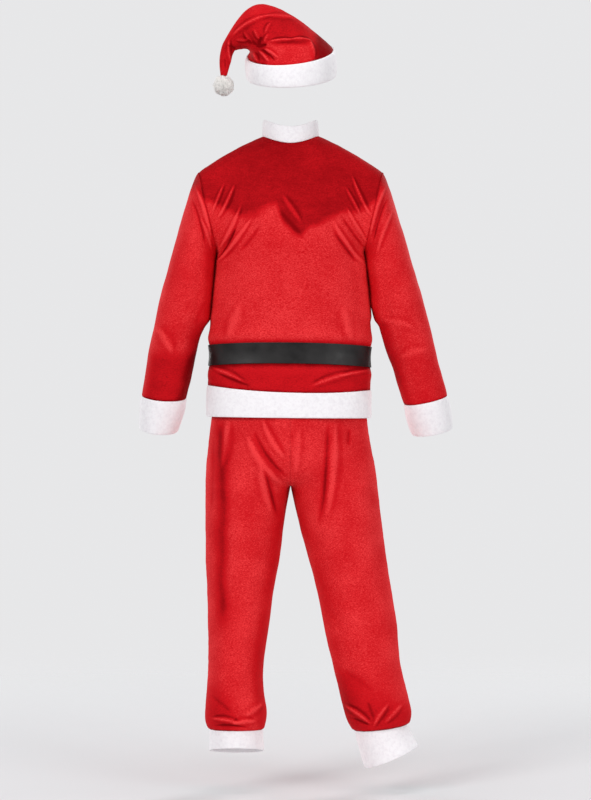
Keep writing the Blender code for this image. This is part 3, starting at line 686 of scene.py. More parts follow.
def quarters(angle):
    """Each angle's side and face of the body (1 or -1), and how far it is from the side seam."""
    side = np.where(np.cos(angle) >= 0, 1.0, -1.0)
    face = np.where(np.sin(angle) >= 0, 1.0, -1.0)
    from_side = np.abs(np.arctan2(np.sin(angle), np.cos(angle)))
    return side, face, np.minimum(from_side, math.pi - from_side) / QUARTER


def held_down(lift, share):
    """The lift with its ridges lowered by this share, where the cloth lies on other cloth."""
    return np.where(lift > 0, lift * (1 - share), lift)


def on_yoke(angle, t):
    """Points above the underarms, from their level (0) up to the neckline and shoulder seam (1)."""
    side, face, from_side = quarters(angle)
    reach, zero = 1 - from_side, np.zeros(len(angle))
    tip = np.stack([side * SHOULDER_X, zero, zero + SHOULDER_Z], 1)
    out = np.clip((reach - NECK_SHARE) / (1 - NECK_SHARE), 0, 1)
    along_seam = on_neckline(zero + 1, side, face) * (1 - out)[:, None] + tip * out[:, None]
    along_seam[:, 2] += SHOULDER_ARCH * 4 * out * (1 - out)
    at_neck = reach < NECK_SHARE
    along_neck = on_neckline(np.clip(reach / NECK_SHARE, 0, 1), side, face)
    top = np.where(at_neck[:, None], along_neck, along_seam)
    upright = np.where(at_neck, np.cos(np.clip(reach / NECK_SHARE, 0, 1) * QUARTER) ** 2, 0)
    round_arm = reach**4
    leave = np.stack([zero, face * 0.34 * round_arm, 0.27 * (1 - round_arm)], 1)
    arrive = np.stack([zero, -face * (0.30 - 0.18 * upright + 0.04 * round_arm), 0.22 * upright], 1)
    point = hermite(on_trunk(angle, zero + 1), top, leave, arrive, t)
    underarm = on_trunk(np.where(side > 0, 0.0, math.pi), zero + 1)
    bulge = np.stack([zero, face * 0.34, zero], 1)
    edge = hermite(underarm, tip, bulge, -bulge, t)
    swing = (t - 0.5) * math.pi
    armhole = (tip + underarm) / 2 + (tip - underarm) / 2 * np.sin(swing)[:, None]
    armhole[:, 1] += face * ARMHOLE_DEPTH * np.cos(swing)
    return point + (armhole - edge) * (reach**8)[:, None]


def on_jacket(angle, v):
    below = on_trunk(angle, HEM_SHARE + (1 - HEM_SHARE) * v / TRUNK_SHARE)
    above = on_yoke(angle, np.clip((v - TRUNK_SHARE) / (1 - TRUNK_SHARE), 0, 1))
    return np.where((v < TRUNK_SHARE)[:, None], below, above)


def belt_line(angle):
    return BELT_Z + BELT_ARCH * np.sin(angle) ** 2 + BELT_TILT * np.cos(angle)


def jacket_panel(name, node, start, end, columns):
    """A panel between two angles round the trunk, in degrees."""
    def angles(u):
        return np.radians(start + (end - start) * u)

    def surface(u, v):
        return on_jacket(angles(u), v)

    def shape(points, normals, u, v):
        lift, painted_fold_light, _ = folded(points, normals, BACK_FOLDS, FRONT_FOLDS)
        x, z, sideways = points[:, 0], points[:, 2], np.abs(normals[:, 0])
        lift += 0.0018 * waves(points, 0.095, 1.0) + 0.0006 * waves(points, 0.032, 2.0)
        from_belt = z - belt_line(angles(u))
        near_belt = np.abs(from_belt)
        lift *= smooth((near_belt - BELT_WIDTH / 2) / 0.030)
        lift += 0.0009 * waves(points * (1, 1, 0.22), 0.017, 4.0) * smooth(1 - near_belt / 0.09)
        lift += 0.0022 * bell(near_belt - 0.043, 0.012)
        lift -= 0.0010 * (1 - smooth((near_belt - 0.021) / 0.008))
        lift = held_down(lift, 0.85 * smooth((sideways - 0.55) / 0.25) * smooth((z + 0.46) / 0.04))
        pressed = smooth((sideways - 0.7) / 0.2) * smooth((-0.250 - z) / 0.05) * smooth((z + 0.442) / 0.022)
        lift += np.where(x > 0, 0.0028, 0.0040) * pressed * (1 + 0.3 * waves(points, 0.03, 6.0))
        lift += 0.0008 * bell(np.abs(x) - 0.205, 0.022) * bell(z + 0.075, 0.022)  # the shoulder's tip
        seen_x, seen_z = as_seen(points)
        # Painted shade, partly nap laid flat: the colour is darker above the yoke line, at the back and the
        # front.
        behind, in_front = line_height(YOKE_LINE, seen_x), -0.150 - 0.04 * bell(seen_x, 0.09)
        yoke = np.where(normals[:, 1] > 0, behind, in_front) + 0.012 * waves(points, 0.030, 11.0)
        below_yoke_shade = smooth((yoke - seen_z) / 0.026 + 0.5)
        # Painted highlight and shade: the colour brightens where the cloth lifts and darkens where it
        # sinks, and takes the folds' painted light.
        nap_and_painted_light = 0.22 + 0.50 * below_yoke_shade + 22 * lift + painted_fold_light
        nap_and_painted_light += (0.03 + 0.06 * below_yoke_shade) * waves(points, 0.06, 3.0)
        # Painted shade over the skirt below the belt, and in a thin line just beyond each of the belt's
        # edges.
        nap_and_painted_light -= 0.34 * smooth(-from_belt / 0.02 - 0.4) + 0.30 * bell(near_belt - 0.026, 0.007)
        return lift, nap_and_painted_light

    def soften(points):
        """The corner between the neckline and the shoulder seam is smoothed out below the neck."""
        return smooth((0.115 - np.abs(points[:, 0])) / 0.02) * smooth((points[:, 2] + 0.16) / 0.04)

    panel = laid_cloth(name, surface, columns, 200, 1, shape, jacket_velour, soften=soften)
    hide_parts(node)


jacket_velour = velour("jacket_velour")
jacket_panel("red_jacket_back", "jacket_back", 0, 180, 160)
jacket_panel("red_jacket_front_left", "jacket_front_left", -90, 0, 80)
jacket_panel("red_jacket_front_right", "jacket_front_right", 180, 270, 80)

# ---------------------------------------------------------------------------------------------
# Sleeves: tubes of the same velour, set into the armholes. They crease at the elbows and in the
# hollow of the armholes, where they press against the body.
# ---------------------------------------------------------------------------------------------

ARMHOLE = (0, 0, 0, 0.0013)  # the sleeve turns in at its cuff only
SLEEVE_LEFT = [
    Ring(0.219, -0.077, 0.1745, -0.268, 0, 0.085, 0),  # armhole, just inside the jacket's edge
    Ring(0.2395, -0.12, 0.1798, -0.282, 0, 0.083, 0),
    Ring(0.2535, -0.165, 0.1828, -0.298, 0, 0.08, 0),
    Ring(0.2665, -0.21, 0.1855, -0.32, 0.003, 0.078, 0),
    Ring(0.28, -0.26, 0.189, -0.348, 0.006, 0.075, 0),
    Ring(0.296, -0.315, 0.193, -0.385, 0.008, 0.072, 0),
    Ring(0.313, -0.38, 0.1975, -0.43, 0.006, 0.069, 0),  # elbow
    Ring(0.328, -0.445, 0.217, -0.474, 0, 0.065, 0),
    Ring(0.341, -0.505, 0.2305, -0.53, -0.01, 0.061, 0),
    Ring(0.352, -0.564, 0.2415, -0.578, -0.022, 0.057, -0.003),
    Ring(0.359, -0.6105, 0.252, -0.619, -0.032, 0.055, -0.012),  # head of the cuff
]
SLEEVE_RIGHT = [
    Ring(0.219, -0.077, 0.1755, -0.268, 0, 0.085, 0),
    Ring(0.2395, -0.12, 0.1815, -0.282, 0, 0.083, 0),
    Ring(0.253, -0.165, 0.1845, -0.298, 0, 0.08, 0),
    Ring(0.267, -0.21, 0.1885, -0.32, 0.003, 0.078, 0),
    Ring(0.283, -0.264, 0.193, -0.35, 0.006, 0.075, 0),
    Ring(0.302, -0.33, 0.198, -0.392, 0.008, 0.072, 0),
    Ring(0.32, -0.391, 0.208, -0.43, 0.006, 0.069, 0),
    Ring(0.339, -0.463, 0.224, -0.487, 0, 0.065, 0),
    Ring(0.356, -0.533, 0.245, -0.543, -0.01, 0.061, 0),
    Ring(0.37, -0.579, 0.26, -0.593, -0.022, 0.057, -0.003),
    Ring(0.378, -0.611, 0.2745, -0.633, -0.032, 0.055, -0.009),
]
SLEEVE_BACK_FOLDS = [
    Fold(0.226, -0.112, 0.19, -0.24, 0.006, 0.0034, 0.004),
    Fold(0.236, -0.142, 0.203, -0.256, 0.0058, -0.0028, 0.003),
    Fold(0.2155, -0.186, 0.19, -0.262, 0.0055, 0.0026, 0.003),
    Fold(0.319, -0.449, 0.284, -0.511, 0.013, 0.002, 0.003),
    Fold(0.21, -0.385, 0.228, -0.44, 0.008, -0.0012),
    Fold(-0.228, -0.108, -0.192, -0.226, 0.006, 0.0034, -0.004),
    Fold(-0.234, -0.138, -0.198, -0.243, 0.0052, -0.0032, -0.003),
    Fold(-0.244, -0.17, -0.208, -0.268, 0.0065, 0.0026, -0.003),
    Fold(-0.225, -0.43, -0.3, -0.45, 0.01, 0.0012, 0.004),
    Fold(-0.262, -0.52, -0.33, -0.5, 0.012, 0.0012, 0.004),
]
SLEEVE_FRONT_FOLDS = [
    Fold(0.224, -0.13, 0.196, -0.25, 0.007, 0.0034, 0.004),
    Fold(0.206, -0.395, 0.29, -0.372, 0.008, 0.0036, 0.005),
    Fold(0.21, -0.42, 0.3, -0.41, 0.008, 0.0036, 0.004),
    Fold(0.216, -0.45, 0.31, -0.455, 0.008, 0.0032, -0.004),
    Fold(0.208, -0.406, 0.28, -0.392, 0.006, -0.0032),
    Fold(0.214, -0.436, 0.29, -0.433, 0.006, -0.003),
    Fold(-0.224, -0.13, -0.196, -0.25, 0.007, 0.0034, -0.004),
    Fold(-0.208, -0.385, -0.296, -0.366, 0.008, 0.0036, -0.005),
    Fold(-0.214, -0.416, -0.31, -0.406, 0.008, 0.0036, -0.004),
    Fold(-0.224, -0.446, -0.322, -0.452, 0.008, 0.0032, 0.004),
    Fold(-0.212, -0.402, -0.29, -0.388, 0.006, -0.0032),
]


def sleeve(name, node, table, side, pressed_out, forearm_shade):
    """A sleeve. pressed_out is how far it bulges where it presses against the body."""
    def shape(points, normals, u, v):
        lift, painted_fold_light, _ = folded(points, normals, SLEEVE_BACK_FOLDS, SLEEVE_FRONT_FOLDS)
        z, outwards = points[:, 2], side * normals[:, 0]
        lift += 0.0018 * waves(points, 0.080, 21.0 * side) + 0.0007 * waves(points, 0.030, 2.0)
        lift += 0.0010 * waves(points * (1, 1, 0.25), 0.016, 4.0) * smooth((v - 0.86) / 0.14)
        lift = held_down(lift, 0.85 * smooth((-outwards - 0.3) / 0.3) * smooth((z + 0.46) / 0.04))
        lift *= smooth(v / 0.03)
        pressed = smooth((-outwards - 0.5) / 0.3) * smooth((-0.245 - z) / 0.06)
        pressed *= smooth((z + 0.448) / 0.022)
        lift += pressed_out * pressed * (1 + 0.2 * waves(points, 0.03, 6.0))
        lift += 0.0030 * bell(v - 0.03, 0.05) * smooth((z + 0.13) / 0.04)  # the sleeve's head
        # Painted highlight and shade: the colour brightens where the cloth lifts and darkens where it
        # sinks.
        nap_and_painted_light = 0.68 + 25 * lift + 0.10 * waves(points, 0.05, 3.0) + painted_fold_light
        forearm = smooth((-0.495 - z) / 0.035) * (1 - 0.6 * smooth((outwards - 0.6) / 0.3))
        # Painted shade on the forearm, on the side facing the body, along the armhole seam, over the
        # shoulder's top and just above the cuff.
        nap_and_painted_light -= forearm_shade * forearm + 0.34 * smooth((-outwards - 0.45) / 0.5)
        nap_and_painted_light -= 0.35 * bell(v, 0.016) * smooth((-0.09 - z) / 0.05)
        nap_and_painted_light -= 0.50 * smooth((z + 0.145 + 0.02 * waves(points, 0.04, 12.0)) / 0.05)
        nap_and_painted_light -= 0.20 * smooth((v - 0.965) / 0.035)
        return lift, nap_and_painted_light

    piece = laid_cloth(
        name, ringed(table, side), 140, 175, -side, shape, jacket_velour, ring=True, rolls=ARMHOLE
    )
    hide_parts(node)


sleeve("red_sleeve_left", "sleeve_left", SLEEVE_LEFT, 1, 0.0050, 0.34)
sleeve("red_sleeve_right", "sleeve_right", SLEEVE_RIGHT, -1, 0.0066, 0.06)

# ---------------------------------------------------------------------------------------------
# Jacket trim: plush cuffs at the wrists, a plush hem band, a low stand collar and a strip down the
# closed fronts, all of one white plush, sewn on over the velour's edges.
# ---------------------------------------------------------------------------------------------

CUFF_LEFT = [
    Ring(0.359, -0.6105, 0.252, -0.619, -0.032, 0.055, -0.012),
    Ring(0.3625, -0.646, 0.259, -0.653, -0.04, 0.053, -0.013),
    Ring(0.364, -0.688, 0.274, -0.696, -0.05, 0.048, -0.013),
]
CUFF_RIGHT = [
    Ring(0.378, -0.611, 0.2745, -0.633, -0.032, 0.055, -0.009),
    Ring(0.386, -0.648, 0.2825, -0.668, -0.04, 0.053, -0.01),
    Ring(0.391, -0.687, 0.295, -0.704, -0.05, 0.049, -0.011),
]
COLLAR_HEIGHT = 0.036
COLLAR_LEAN = 0.10  # inward, of its height
STRIP_HALF_WIDTH = 0.028
STRIP_GAP = 0.0006  # over the velour
STRIP_FOOT, STRIP_HEAD = 0.004, 0.985  # of the front panel's height
FIRST_COLUMN = math.radians(10)  # the strip lies on the fronts' edge and on their points beside it

jacket_plush = plush("jacket_plush")


def cuff(name, node, table, side):
    piece = plush_band(name, ringed(table, side, PROUD), 120, 44, -side, jacket_plush, over=0.015)
    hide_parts(node)


def hem_surface(u, v):
    return on_trunk(u * TURN, HEM_SHARE * v, PROUD)


def collar_surface(u, v):
    """The collar's ends meet at the centre front."""
    angle = np.radians(-89.2 + 358.4 * u)
    side, face, _ = quarters(angle)
    turned = np.arcsin(np.abs(np.cos(angle)) * 0.999)
    foot = on_neckline(turned / QUARTER, side, face)
    out = foot * (1, 1, 0)
    out /= np.linalg.norm(out, axis=1)[:, None]
    steep = np.sin(2 * turned) * np.where(face < 0, 4, 1)
    foot[:, 2] += 0.0012 * (1 + steep) + COLLAR_HEIGHT * v - 0.0040 * (1 - v)
    return foot + out * (0.003 - COLLAR_LEAN * COLLAR_HEIGHT * v)[:, None]


def strip_surface(u, v):
    x = STRIP_HALF_WIDTH * (2 * u - 1)
    side = np.where(x < 0, -1.0, 1.0)
    height = np.clip(v * 0.9992, STRIP_FOOT, STRIP_HEAD)
    edge = on_jacket(np.full(len(u), -QUARTER), height)
    beside = on_jacket(-QUARTER + side * FIRST_COLUMN, height)
    across = (beside - edge) / np.abs(beside[:, :1])
    upward = on_jacket(np.full(len(u), -QUARTER), height + 0.01)
    upward -= on_jacket(np.full(len(u), -QUARTER), height - 0.01)
    out = np.cross(across, upward) * side[:, None]
    out /= np.linalg.norm(out, axis=1)[:, None]
    return edge + across * np.abs(x)[:, None] + out * (PLUSH + STRIP_GAP)


cuff("white_cuff_left", "cuff_left", CUFF_LEFT, 1)
cuff("white_cuff_right", "cuff_right", CUFF_RIGHT, -1)
hem_band = plush_band("white_hem_band", hem_surface, 280, 48, 1, jacket_plush, over=0.015)
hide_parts("hem_band")
collar = plush_band("white_collar", collar_surface, 150, 36, 1, jacket_plush, ring=False)
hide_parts("collar")
strip = plush_band(
    "white_front_strip", lambda u, v: strip_surface(v, u), 190, 36, -1, jacket_plush, ring=False
)
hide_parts("front_band")

# ---------------------------------------------------------------------------------------------
# Belt: one strap of black vinyl that starts under the buckle, goes once round and laps over its own
# start. A plain metal frame with a prong holds the lap in front.
# ---------------------------------------------------------------------------------------------

BELT_START, BELT_END = -94, 306  # degrees round the trunk, from the wearer's left by the back
BUCKLE_HALF = (0.040, 0.037)
BUCKLE_BAR, BUCKLE_WALL = 0.008, 0.004


def trunk_height(angle, z):
    """Where a height falls in the trunk's table, found by halving."""
    low, high = np.zeros(len(z)), np.ones(len(z))
    for _ in range(24):
        middle = (low + high) / 2
        below = on_trunk(angle, middle)[:, 2] < z
        low, high = np.where(below, middle, low), np.where(below, high, middle)
    return low


def belt_surface(u, v):
    angle = np.radians(BELT_START + (BELT_END - BELT_START) * u)
    round_front = np.arctan2(np.cos(angle), -np.sin(angle))
    over_strip = smooth(1 - (np.abs(round_front) - 0.16) / math.radians(30))
    lap = smooth((angle - math.radians(BELT_START + 345)) / math.radians(14))
    proud = BELT_GAP + BELT_WALL + (PLUSH + STRIP_GAP) * over_strip + (BELT_WALL + BELT_GAP) * lap
    z = belt_line(angle) + BELT_WIDTH * (v - 0.5)
    return on_trunk(angle, trunk_height(angle, z), proud)


def belt_shape(points, normals, u, v):
    lift = 0.0004 * waves(points, 0.060, 1.0) + 0.0003 * waves(points * (1, 1, 0.3), 0.016, 2.0)
    return lift, np.zeros(len(points))


belt_vinyl, tree, shader = new_finish("belt_vinyl")  # a fine pressed grain, and a soft broken sheen
place = add(tree, "TexCoord", {}).outputs["Object"]
worn = add(tree, "TexNoise", {"Vector": place, "Scale": 26, "Detail": 5}).outputs["Fac"]
dulling = {"Value": worn, "From Min": 0.35, "From Max": 0.65, "To Min": 0.36, "To Max": 0.58}
shade = add(tree, "ValToRGB", {"Fac": worn})
shade.color_ramp.elements[0].position, shade.color_ramp.elements[1].position = 0.3, 0.7
shade.color_ramp.elements[0].color = (0.009, 0.008, 0.008, 1)
shade.color_ramp.elements[1].color = (0.021, 0.019, 0.019, 1)
grain = add(tree, "TexVoronoi", {"Vector": place, "Scale": 900}).outputs["Distance"]
bump = add(tree, "Bump", {"Strength": 0.20, "Distance": 0.0004, "Height": grain})
feed(tree, shader, {
    "Base Color": shade.outputs["Color"],
    "Normal": bump.outputs["Normal"],
    "Roughness": add(tree, "MapRange", dulling).outputs["Result"],
    "Specular IOR Level": 0.26,
})

belt = laid_cloth(
    "black_belt", belt_surface, 340, 16, 1, belt_shape, belt_vinyl, rolls=(0, 0, 0, 0), wall=BELT_WALL
)
round_edge = belt.modifiers.new("round_edge", "BEVEL")
round_edge.width, round_edge.segments, round_edge.limit_method = 0.0006, 2, "ANGLE"
round_edge.angle_limit = math.radians(50)
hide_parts("belt")

buckle_metal, tree, shader = new_finish("buckle_metal")  # satin, brushed along its length
place = add(tree, "TexCoord", {}).outputs["Object"]
dark_band = add(tree, "Mapping", {"Vector": place, "Scale": (30, 900, 900)}).outputs["Vector"]
lines = add(tree, "TexNoise", {"Vector": dark_band, "Scale": 1, "Detail": 4}).outputs["Fac"]
satin = add(tree, "MapRange", {"Value": lines, "To Min": 0.22, "To Max": 0.42}).outputs["Result"]
scratch = add(tree, "Bump", {"Strength": 0.08, "Distance": 0.0003, "Height": lines})
feed(tree, shader, {
    "Base Color": (0.62, 0.60, 0.56, 1),
    "Metallic": 1.0,
    "Normal": scratch.outputs["Normal"],
    "Roughness": satin,
})


def rounded(bm, edges, radius):
    """Rounds those of the edges that are sharp corners."""
    sharp = [edge for edge in edges if edge.is_manifold and edge.calc_face_angle(0) > 1.2]
    bmesh.ops.bevel(
        bm, geom=sharp, affect="EDGES", offset=radius, segments=3, profile=0.5, material=-1
    )


buckle_low, buckle_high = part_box("belt_buckle")
buckle_middle = (buckle_low + buckle_high) / 2
bm = bmesh.new()
bmesh.ops.create_grid(bm, x_segments=1, y_segments=1, size=0.5)
bmesh.ops.scale(bm, verts=bm.verts[:], vec=(2 * BUCKLE_HALF[0], 2 * BUCKLE_HALF[1], 1))
bmesh.ops.bevel(
    bm, geom=bm.verts[:], affect="VERTICES", offset=0.009, segments=6, profile=0.5, material=-1
)
bmesh.ops.inset_region(
    bm, faces=bm.faces[:], thickness=BUCKLE_BAR, use_boundary=True, use_even_offset=True
)
opening = [face for face in bm.faces if face.calc_center_median().length < 0.01]
bmesh.ops.delete(bm, geom=opening, context="FACES")
plate = bmesh.ops.extrude_face_region(bm, geom=bm.faces[:], use_keep_orig=True)["geom"]
front_face = [part for part in plate if isinstance(part, bmesh.types.BMVert)]
bmesh.ops.translate(bm, verts=front_face, vec=(0, 0, BUCKLE_WALL))
bmesh.ops.recalc_face_normals(bm, faces=bm.faces[:])
rounded(bm, bm.edges, 0.0013)
bmesh.ops.rotate(bm, verts=bm.verts[:], cent=(0, 0, 0), matrix=Matrix.Rotation(QUARTER, 3, "X"))
bmesh.ops.translate(bm, verts=bm.verts[:], vec=buckle_middle + Vector((0, BUCKLE_WALL / 2, 0)))
prong = bmesh.ops.create_cone(
    bm, cap_ends=True, segments=16, radius1=0.0026, radius2=0.0019, depth=0.070
)["verts"]
prong_place = buckle_middle + Vector((0, -BUCKLE_WALL / 2 - 0.0012, 0))
bmesh.ops.rotate(bm, verts=prong, cent=(0, 0, 0), matrix=Matrix.Rotation(QUARTER, 3, "Y"))
bmesh.ops.translate(bm, verts=prong, vec=prong_place)
rounded(bm, [edge for edge in bm.edges if edge.verts[0] in prong], 0.0011)
buckle = smooth_object(bm, "metal_buckle", buckle_metal)
buckle.data.set_sharp_from_angle(angle=math.radians(40))
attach(buckle, "root")
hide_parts("belt_buckle")

# ---------------------------------------------------------------------------------------------
# Trousers: two backs and two fronts of velour, seamed at the sides, the inside legs and the seat.
# They are gathered into an elastic waist, and they fold softly over the ankle cuffs.
# ---------------------------------------------------------------------------------------------

LEG_LEFT = [
    Ring(0.196, -1.412, 0.065, -1.412, 0.006, 0.068, 0.004),  # fold over the ankle cuff
    Ring(0.204, -1.39, 0.059, -1.39, 0.008, 0.075, 0),
    Ring(0.204, -1.36, 0.057, -1.36, 0.009, 0.078, 0),
    Ring(0.2005, -1.315, 0.063, -1.315, 0.008, 0.079, 0),
    Ring(0.198, -1.255, 0.063, -1.255, 0.006, 0.082, 0),
    Ring(0.1975, -1.169, 0.052, -1.169, 0.003, 0.086, 0),
    Ring(0.1985, -1.082, 0.041, -1.082, 0, 0.09, 0),  # knee
    Ring(0.203, -0.996, 0.024, -0.996, 0, 0.096, 0),
    Ring(0.203, -0.91, 0.013, -0.91, 0, 0.103, 0),
    Ring(0.203, -0.828, 0.0002, -0.828, 0, 0.108, 0),  # crotch
]
LEG_RIGHT = [
    Ring(0.282, -1.398, 0.151, -1.414, 0.006, 0.068, 0),
    Ring(0.288, -1.382, 0.138, -1.393, 0.008, 0.075, 0),
    Ring(0.288, -1.36, 0.127, -1.364, 0.009, 0.078, 0),
    Ring(0.277, -1.315, 0.115, -1.315, 0.008, 0.08, 0),
    Ring(0.264, -1.255, 0.101, -1.255, 0.006, 0.083, 0),
    Ring(0.2555, -1.169, 0.081, -1.169, 0.003, 0.087, 0),
    Ring(0.242, -1.082, 0.064, -1.082, 0, 0.091, 0),
    Ring(0.2295, -0.996, 0.042, -0.996, 0, 0.097, 0),
    Ring(0.2175, -0.91, 0.018, -0.91, 0, 0.104, 0),
    Ring(0.208, -0.828, 0.0002, -0.828, 0, 0.108, 0),
]
Seat = namedtuple("Seat", "z left right back front")
SEAT = [
    Seat(-0.828, 0.203, 0.208, 0.108, 0.108),  # crotch
    Seat(-0.78, 0.201, 0.203, 0.114, 0.114),
    Seat(-0.73, 0.196, 0.193, 0.117, 0.117),
    Seat(-0.67, 0.19, 0.184, 0.113, 0.116),
    Seat(-0.62, 0.181, 0.177, 0.107, 0.112),
    Seat(-0.57, 0.17, 0.167, 0.101, 0.107),
    Seat(-0.535, 0.162, 0.16, 0.097, 0.103),
    Seat(-0.5, 0.157, 0.156, 0.095, 0.101),  # waist
]
LEG_SHARE = 0.66  # of a panel's height, below the crotch
TROUSER_SEAMS = (0.0008, 0, 0.0026, 0)  # a panel turns in at its side seam and its foot
GATHERS = 74  # round the waistband
SEAT_TOP = (len(SEAT) - 2) / (len(SEAT) - 1)  # of the seat's table, under the waistband

TROUSER_BACK_FOLDS = [
    Fold(0.09, -0.691, 0.008, -0.808, 0.009, -0.0036, -0.008),
    Fold(0.067, -0.668, 0.014, -0.761, 0.009, 0.0032, -0.006),
    Fold(0.104, -0.706, 0.022, -0.822, 0.011, 0.003, -0.01),
    Fold(0.073, -0.773, 0.047, -0.889, 0.012, 0.0026, -0.004),
    Fold(0.06, -0.8, 0.03, -0.9, 0.01, -0.0028),
    Fold(0.184, -0.697, 0.192, -0.9, 0.008, -0.0012),
    Fold(0.15, -0.67, 0.163, -0.78, 0.012, 0.0026),
    Fold(-0.09, -0.674, -0.067, -0.924, 0.012, -0.0032, 0.006),
    Fold(-0.108, -0.672, -0.088, -0.9, 0.012, 0.0022, 0.006),
    Fold(-0.143, -0.691, -0.14, -0.732, 0.008, -0.0026),
    Fold(-0.02, -0.69, -0.012, -0.8, 0.01, 0.0014),
    Fold(0.19, -1.386, 0.12, -1.398, 0.007, 0.0034, 0.003),
    Fold(0.14, -1.398, 0.085, -1.392, 0.007, 0.003, 0.002),
    Fold(0.184, -1.403, 0.1, -1.408, 0.006, -0.003, 0.002),
    Fold(0.19, -1.33, 0.14, -1.372, 0.01, -0.0014),
    Fold(0.066, -1.35, 0.11, -1.38, 0.009, 0.0024),
    Fold(-0.131, -1.355, -0.192, -1.397, 0.007, 0.0036, 0.003),
    Fold(-0.236, -1.35, -0.2, -1.404, 0.007, 0.0034, -0.003),
    Fold(-0.185, -1.345, -0.2, -1.385, 0.01, -0.0018),
    Fold(-0.268, -1.352, -0.226, -1.396, 0.008, 0.0026),
    Fold(-0.15, -1.385, -0.19, -1.402, 0.006, -0.0026),
    Fold(-0.126, -1.27, -0.196, -1.318, 0.014, -0.0012),
]
TROUSER_FRONT_FOLDS = [
    Fold(0.085, -0.69, 0.008, -0.79, 0.009, 0.0044, -0.006),
    Fold(0.1, -0.715, 0.012, -0.808, 0.008, -0.004, -0.008),
    Fold(-0.085, -0.69, -0.008, -0.785, 0.009, 0.0044, 0.006),
    Fold(-0.1, -0.715, -0.012, -0.806, 0.008, -0.004, 0.008),
    Fold(0.12, -0.68, 0.112, -0.9, 0.011, 0.003, 0.004),
    Fold(-0.125, -0.68, -0.12, -0.9, 0.011, 0.003, -0.004),
    Fold(0.05, -1.02, 0.14, -1, 0.012, 0.0028, 0.006),
    Fold(0.06, -1.12, 0.15, -1.14, 0.012, 0.0026, -0.005),
    Fold(-0.075, -1.02, -0.17, -1, 0.012, 0.0028, -0.006),
    Fold(-0.09, -1.125, -0.19, -1.145, 0.012, 0.0026, 0.005),
    Fold(0.08, -1.36, 0.17, -1.382, 0.009, 0.0038, 0.004),
    Fold(0.074, -1.388, 0.16, -1.4, 0.007, 0.0034, 0.003),
    Fold(0.08, -1.374, 0.165, -1.392, 0.006, -0.003, 0.003),
    Fold(-0.14, -1.36, -0.24, -1.376, 0.009, 0.0038, -0.004),
    Fold(-0.15, -1.386, -0.25, -1.396, 0.007, 0.0034, -0.003),
    Fold(-0.15, -1.374, -0.245, -1.388, 0.006, -0.003, -0.003),
]


def on_seat(side, face, reach, t, proud=0.0):
    """Points above the crotch, from the side seam (0) to the centre seam (1)."""
    ring = through(SEAT, t)
    width = np.where(side > 0, ring.left, ring.right) + proud
    depth = np.where(face > 0, ring.back, ring.front) + proud
    middle = width / 2 * np.maximum(0, 1 - t / 0.5) ** 2
    half = width - middle
    angle = reach * np.arccos(np.maximum(-middle / half, -0.99999))
    x = middle + half * np.cos(angle)
    return np.stack([side * x, face * depth * np.sin(angle), ring.z], 1)


def trouser_panel(name, node, side, face, legs, inner_shade):
    """A quarter of the trousers, between its side seam and its inside leg and centre seams."""
    def surface(u, v):
        leg = on_ring(through(legs, v / LEG_SHARE), face * u * math.pi, side)
        seat = on_seat(side, face, u, np.clip((v - LEG_SHARE) / (1 - LEG_SHARE), 0, 1) * SEAT_TOP)
        return np.where((v < LEG_SHARE)[:, None], leg, seat)

    def shape(points, normals, u, v):
        lift, painted_fold_light = raised(points, TROUSER_BACK_FOLDS if face > 0 else TROUSER_FRONT_FOLDS)
        z, inwards = points[:, 2], -side * normals[:, 0]
        lift *= smooth(np.abs(normals[:, 1]) * 2.2)
        lift += 0.0028 * waves(points * (1, 1, 0.45), 0.075, 31.0) + 0.0009 * waves(points, 0.035, 2.0)
        lift += 0.0016 * waves(points * (1, 1, 0.18), 0.016, 4.0) * smooth((v - 0.90) / 0.08)
        lift = held_down(lift, 0.8 * smooth((z + 0.70) / 0.06))  # under the jacket
        lift = held_down(lift, 0.9 * smooth((inwards - 0.3) / 0.3) * smooth((z + 0.93) / 0.06))
        # Painted highlight and shade: the colour brightens where the cloth lifts and darkens where it
        # sinks.
        nap_and_painted_light = 0.70 + 22 * lift + painted_fold_light + 0.12 * waves(points, 0.06, 3.0)
        nap_and_painted_light -= inner_shade * smooth((inwards - 0.55) / 0.4)
        seen_x, seen_z = as_seen(points)
        outer = side * seen_x
        if side > 0:
            # a darker band down the left leg's outer side, above the knee
            dark_band = bell(outer - 0.165 + 0.006 * waves(points, 0.08, 14.0), 0.013)
            nap_and_painted_light -= 0.46 * dark_band * smooth((-0.66 - seen_z) / 0.05) * smooth((seen_z + 1.19) / 0.08)
            # painted shade on the lower leg, towards the ankle
            nap_and_painted_light -= 0.26 * smooth((outer - 0.110) / 0.05) * smooth((-1.280 - seen_z) / 0.06)
        else:
            # painted shade on the lower leg, towards the ankle
            nap_and_painted_light -= 0.28 * smooth((-1.265 - seen_z - 0.45 * (outer - 0.150)) / 0.07)
        return lift, nap_and_painted_light

    def soften(points):
        """The corner at the crotch is smoothed out, where the legs part."""
        from_crotch = np.abs(points[:, 2] - SEAT[0].z)
        return smooth(1.6 - from_crotch / 0.06) * smooth((0.17 - np.abs(points[:, 0])) / 0.04)

    piece = laid_cloth(
        name, surface, 80, 280, side * face, shape, trouser_velour,
        rolls=TROUSER_SEAMS, soften=soften,
    )
    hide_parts(node)


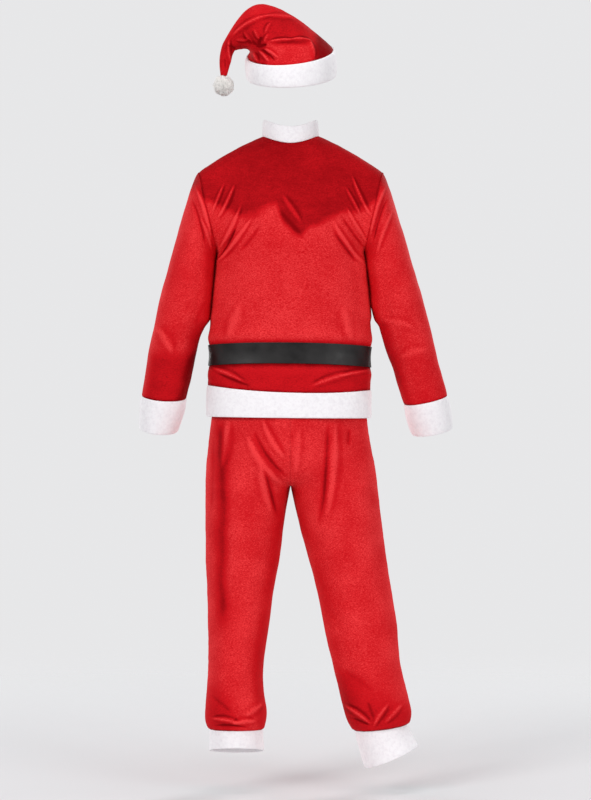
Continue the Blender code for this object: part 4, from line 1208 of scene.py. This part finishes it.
def waistband_surface(u, v):
    side, face, reach = quarters(u * TURN)
    points = on_seat(side, face, reach, SEAT_TOP + 0.002 + (1 - SEAT_TOP - 0.002) * v, 0.001)
    points[:, 0] = np.where(reach > 1 - 1e-6, 0, points[:, 0])
    return points


def waistband_shape(points, normals, u, v):
    gathers = np.sin(u * TURN * GATHERS + 3 * waves(points, 0.05, 1.0))
    lift = 0.0013 * gathers * np.sin(v * math.pi) ** 0.5
    # Painted shade in the gathers' hollows and painted highlight on their ridges.
    return lift, 0.5 + 180 * lift


trouser_velour = velour("trouser_velour")
trouser_panel("red_trouser_back_left", "trouser_back_left", 1, 1, LEG_LEFT, 0.25)
trouser_panel("red_trouser_back_right", "trouser_back_right", -1, 1, LEG_RIGHT, 0.12)
trouser_panel("red_trouser_front_left", "trouser_front_left", 1, -1, LEG_LEFT, 0.25)
trouser_panel("red_trouser_front_right", "trouser_front_right", -1, -1, LEG_RIGHT, 0.12)
waistband = laid_cloth(
    "red_waistband", waistband_surface, 420, 16, 1, waistband_shape, velour("waistband_cloth"),
    ring=True, rolls=(0, 0, 0, 0), wall=0.004,
)
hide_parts("waistband")

# ---------------------------------------------------------------------------------------------
# Ankle cuffs: white plush bands sewn inside the ends of the trouser legs, which fold over them.
# ---------------------------------------------------------------------------------------------

ANKLE_LEFT = [
    Ring(0.193, -1.462, 0.066, -1.462, 0.004, 0.066, 0.014),
    Ring(0.1915, -1.42, 0.069, -1.42, 0.005, 0.062, 0.006),
    Ring(0.191, -1.378, 0.072, -1.378, 0.006, 0.06, 0),
]
ANKLE_RIGHT = [
    Ring(0.304, -1.45, 0.18, -1.502, 0.004, 0.068, 0),
    Ring(0.283, -1.412, 0.168, -1.46, 0.005, 0.063, 0),
    Ring(0.265, -1.374, 0.153, -1.4, 0.006, 0.058, 0),
]


def ankle_cuff(name, node, table, side):
    piece = plush_band(name, ringed(table, side, 0.0028), 130, 40, side, trouser_plush)
    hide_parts(node)


trouser_plush = plush("trouser_plush")
ankle_cuff("white_ankle_cuff_left", "trouser_cuff_left", ANKLE_LEFT, 1)
ankle_cuff("white_ankle_cuff_right", "trouser_cuff_right", ANKLE_RIGHT, -1)
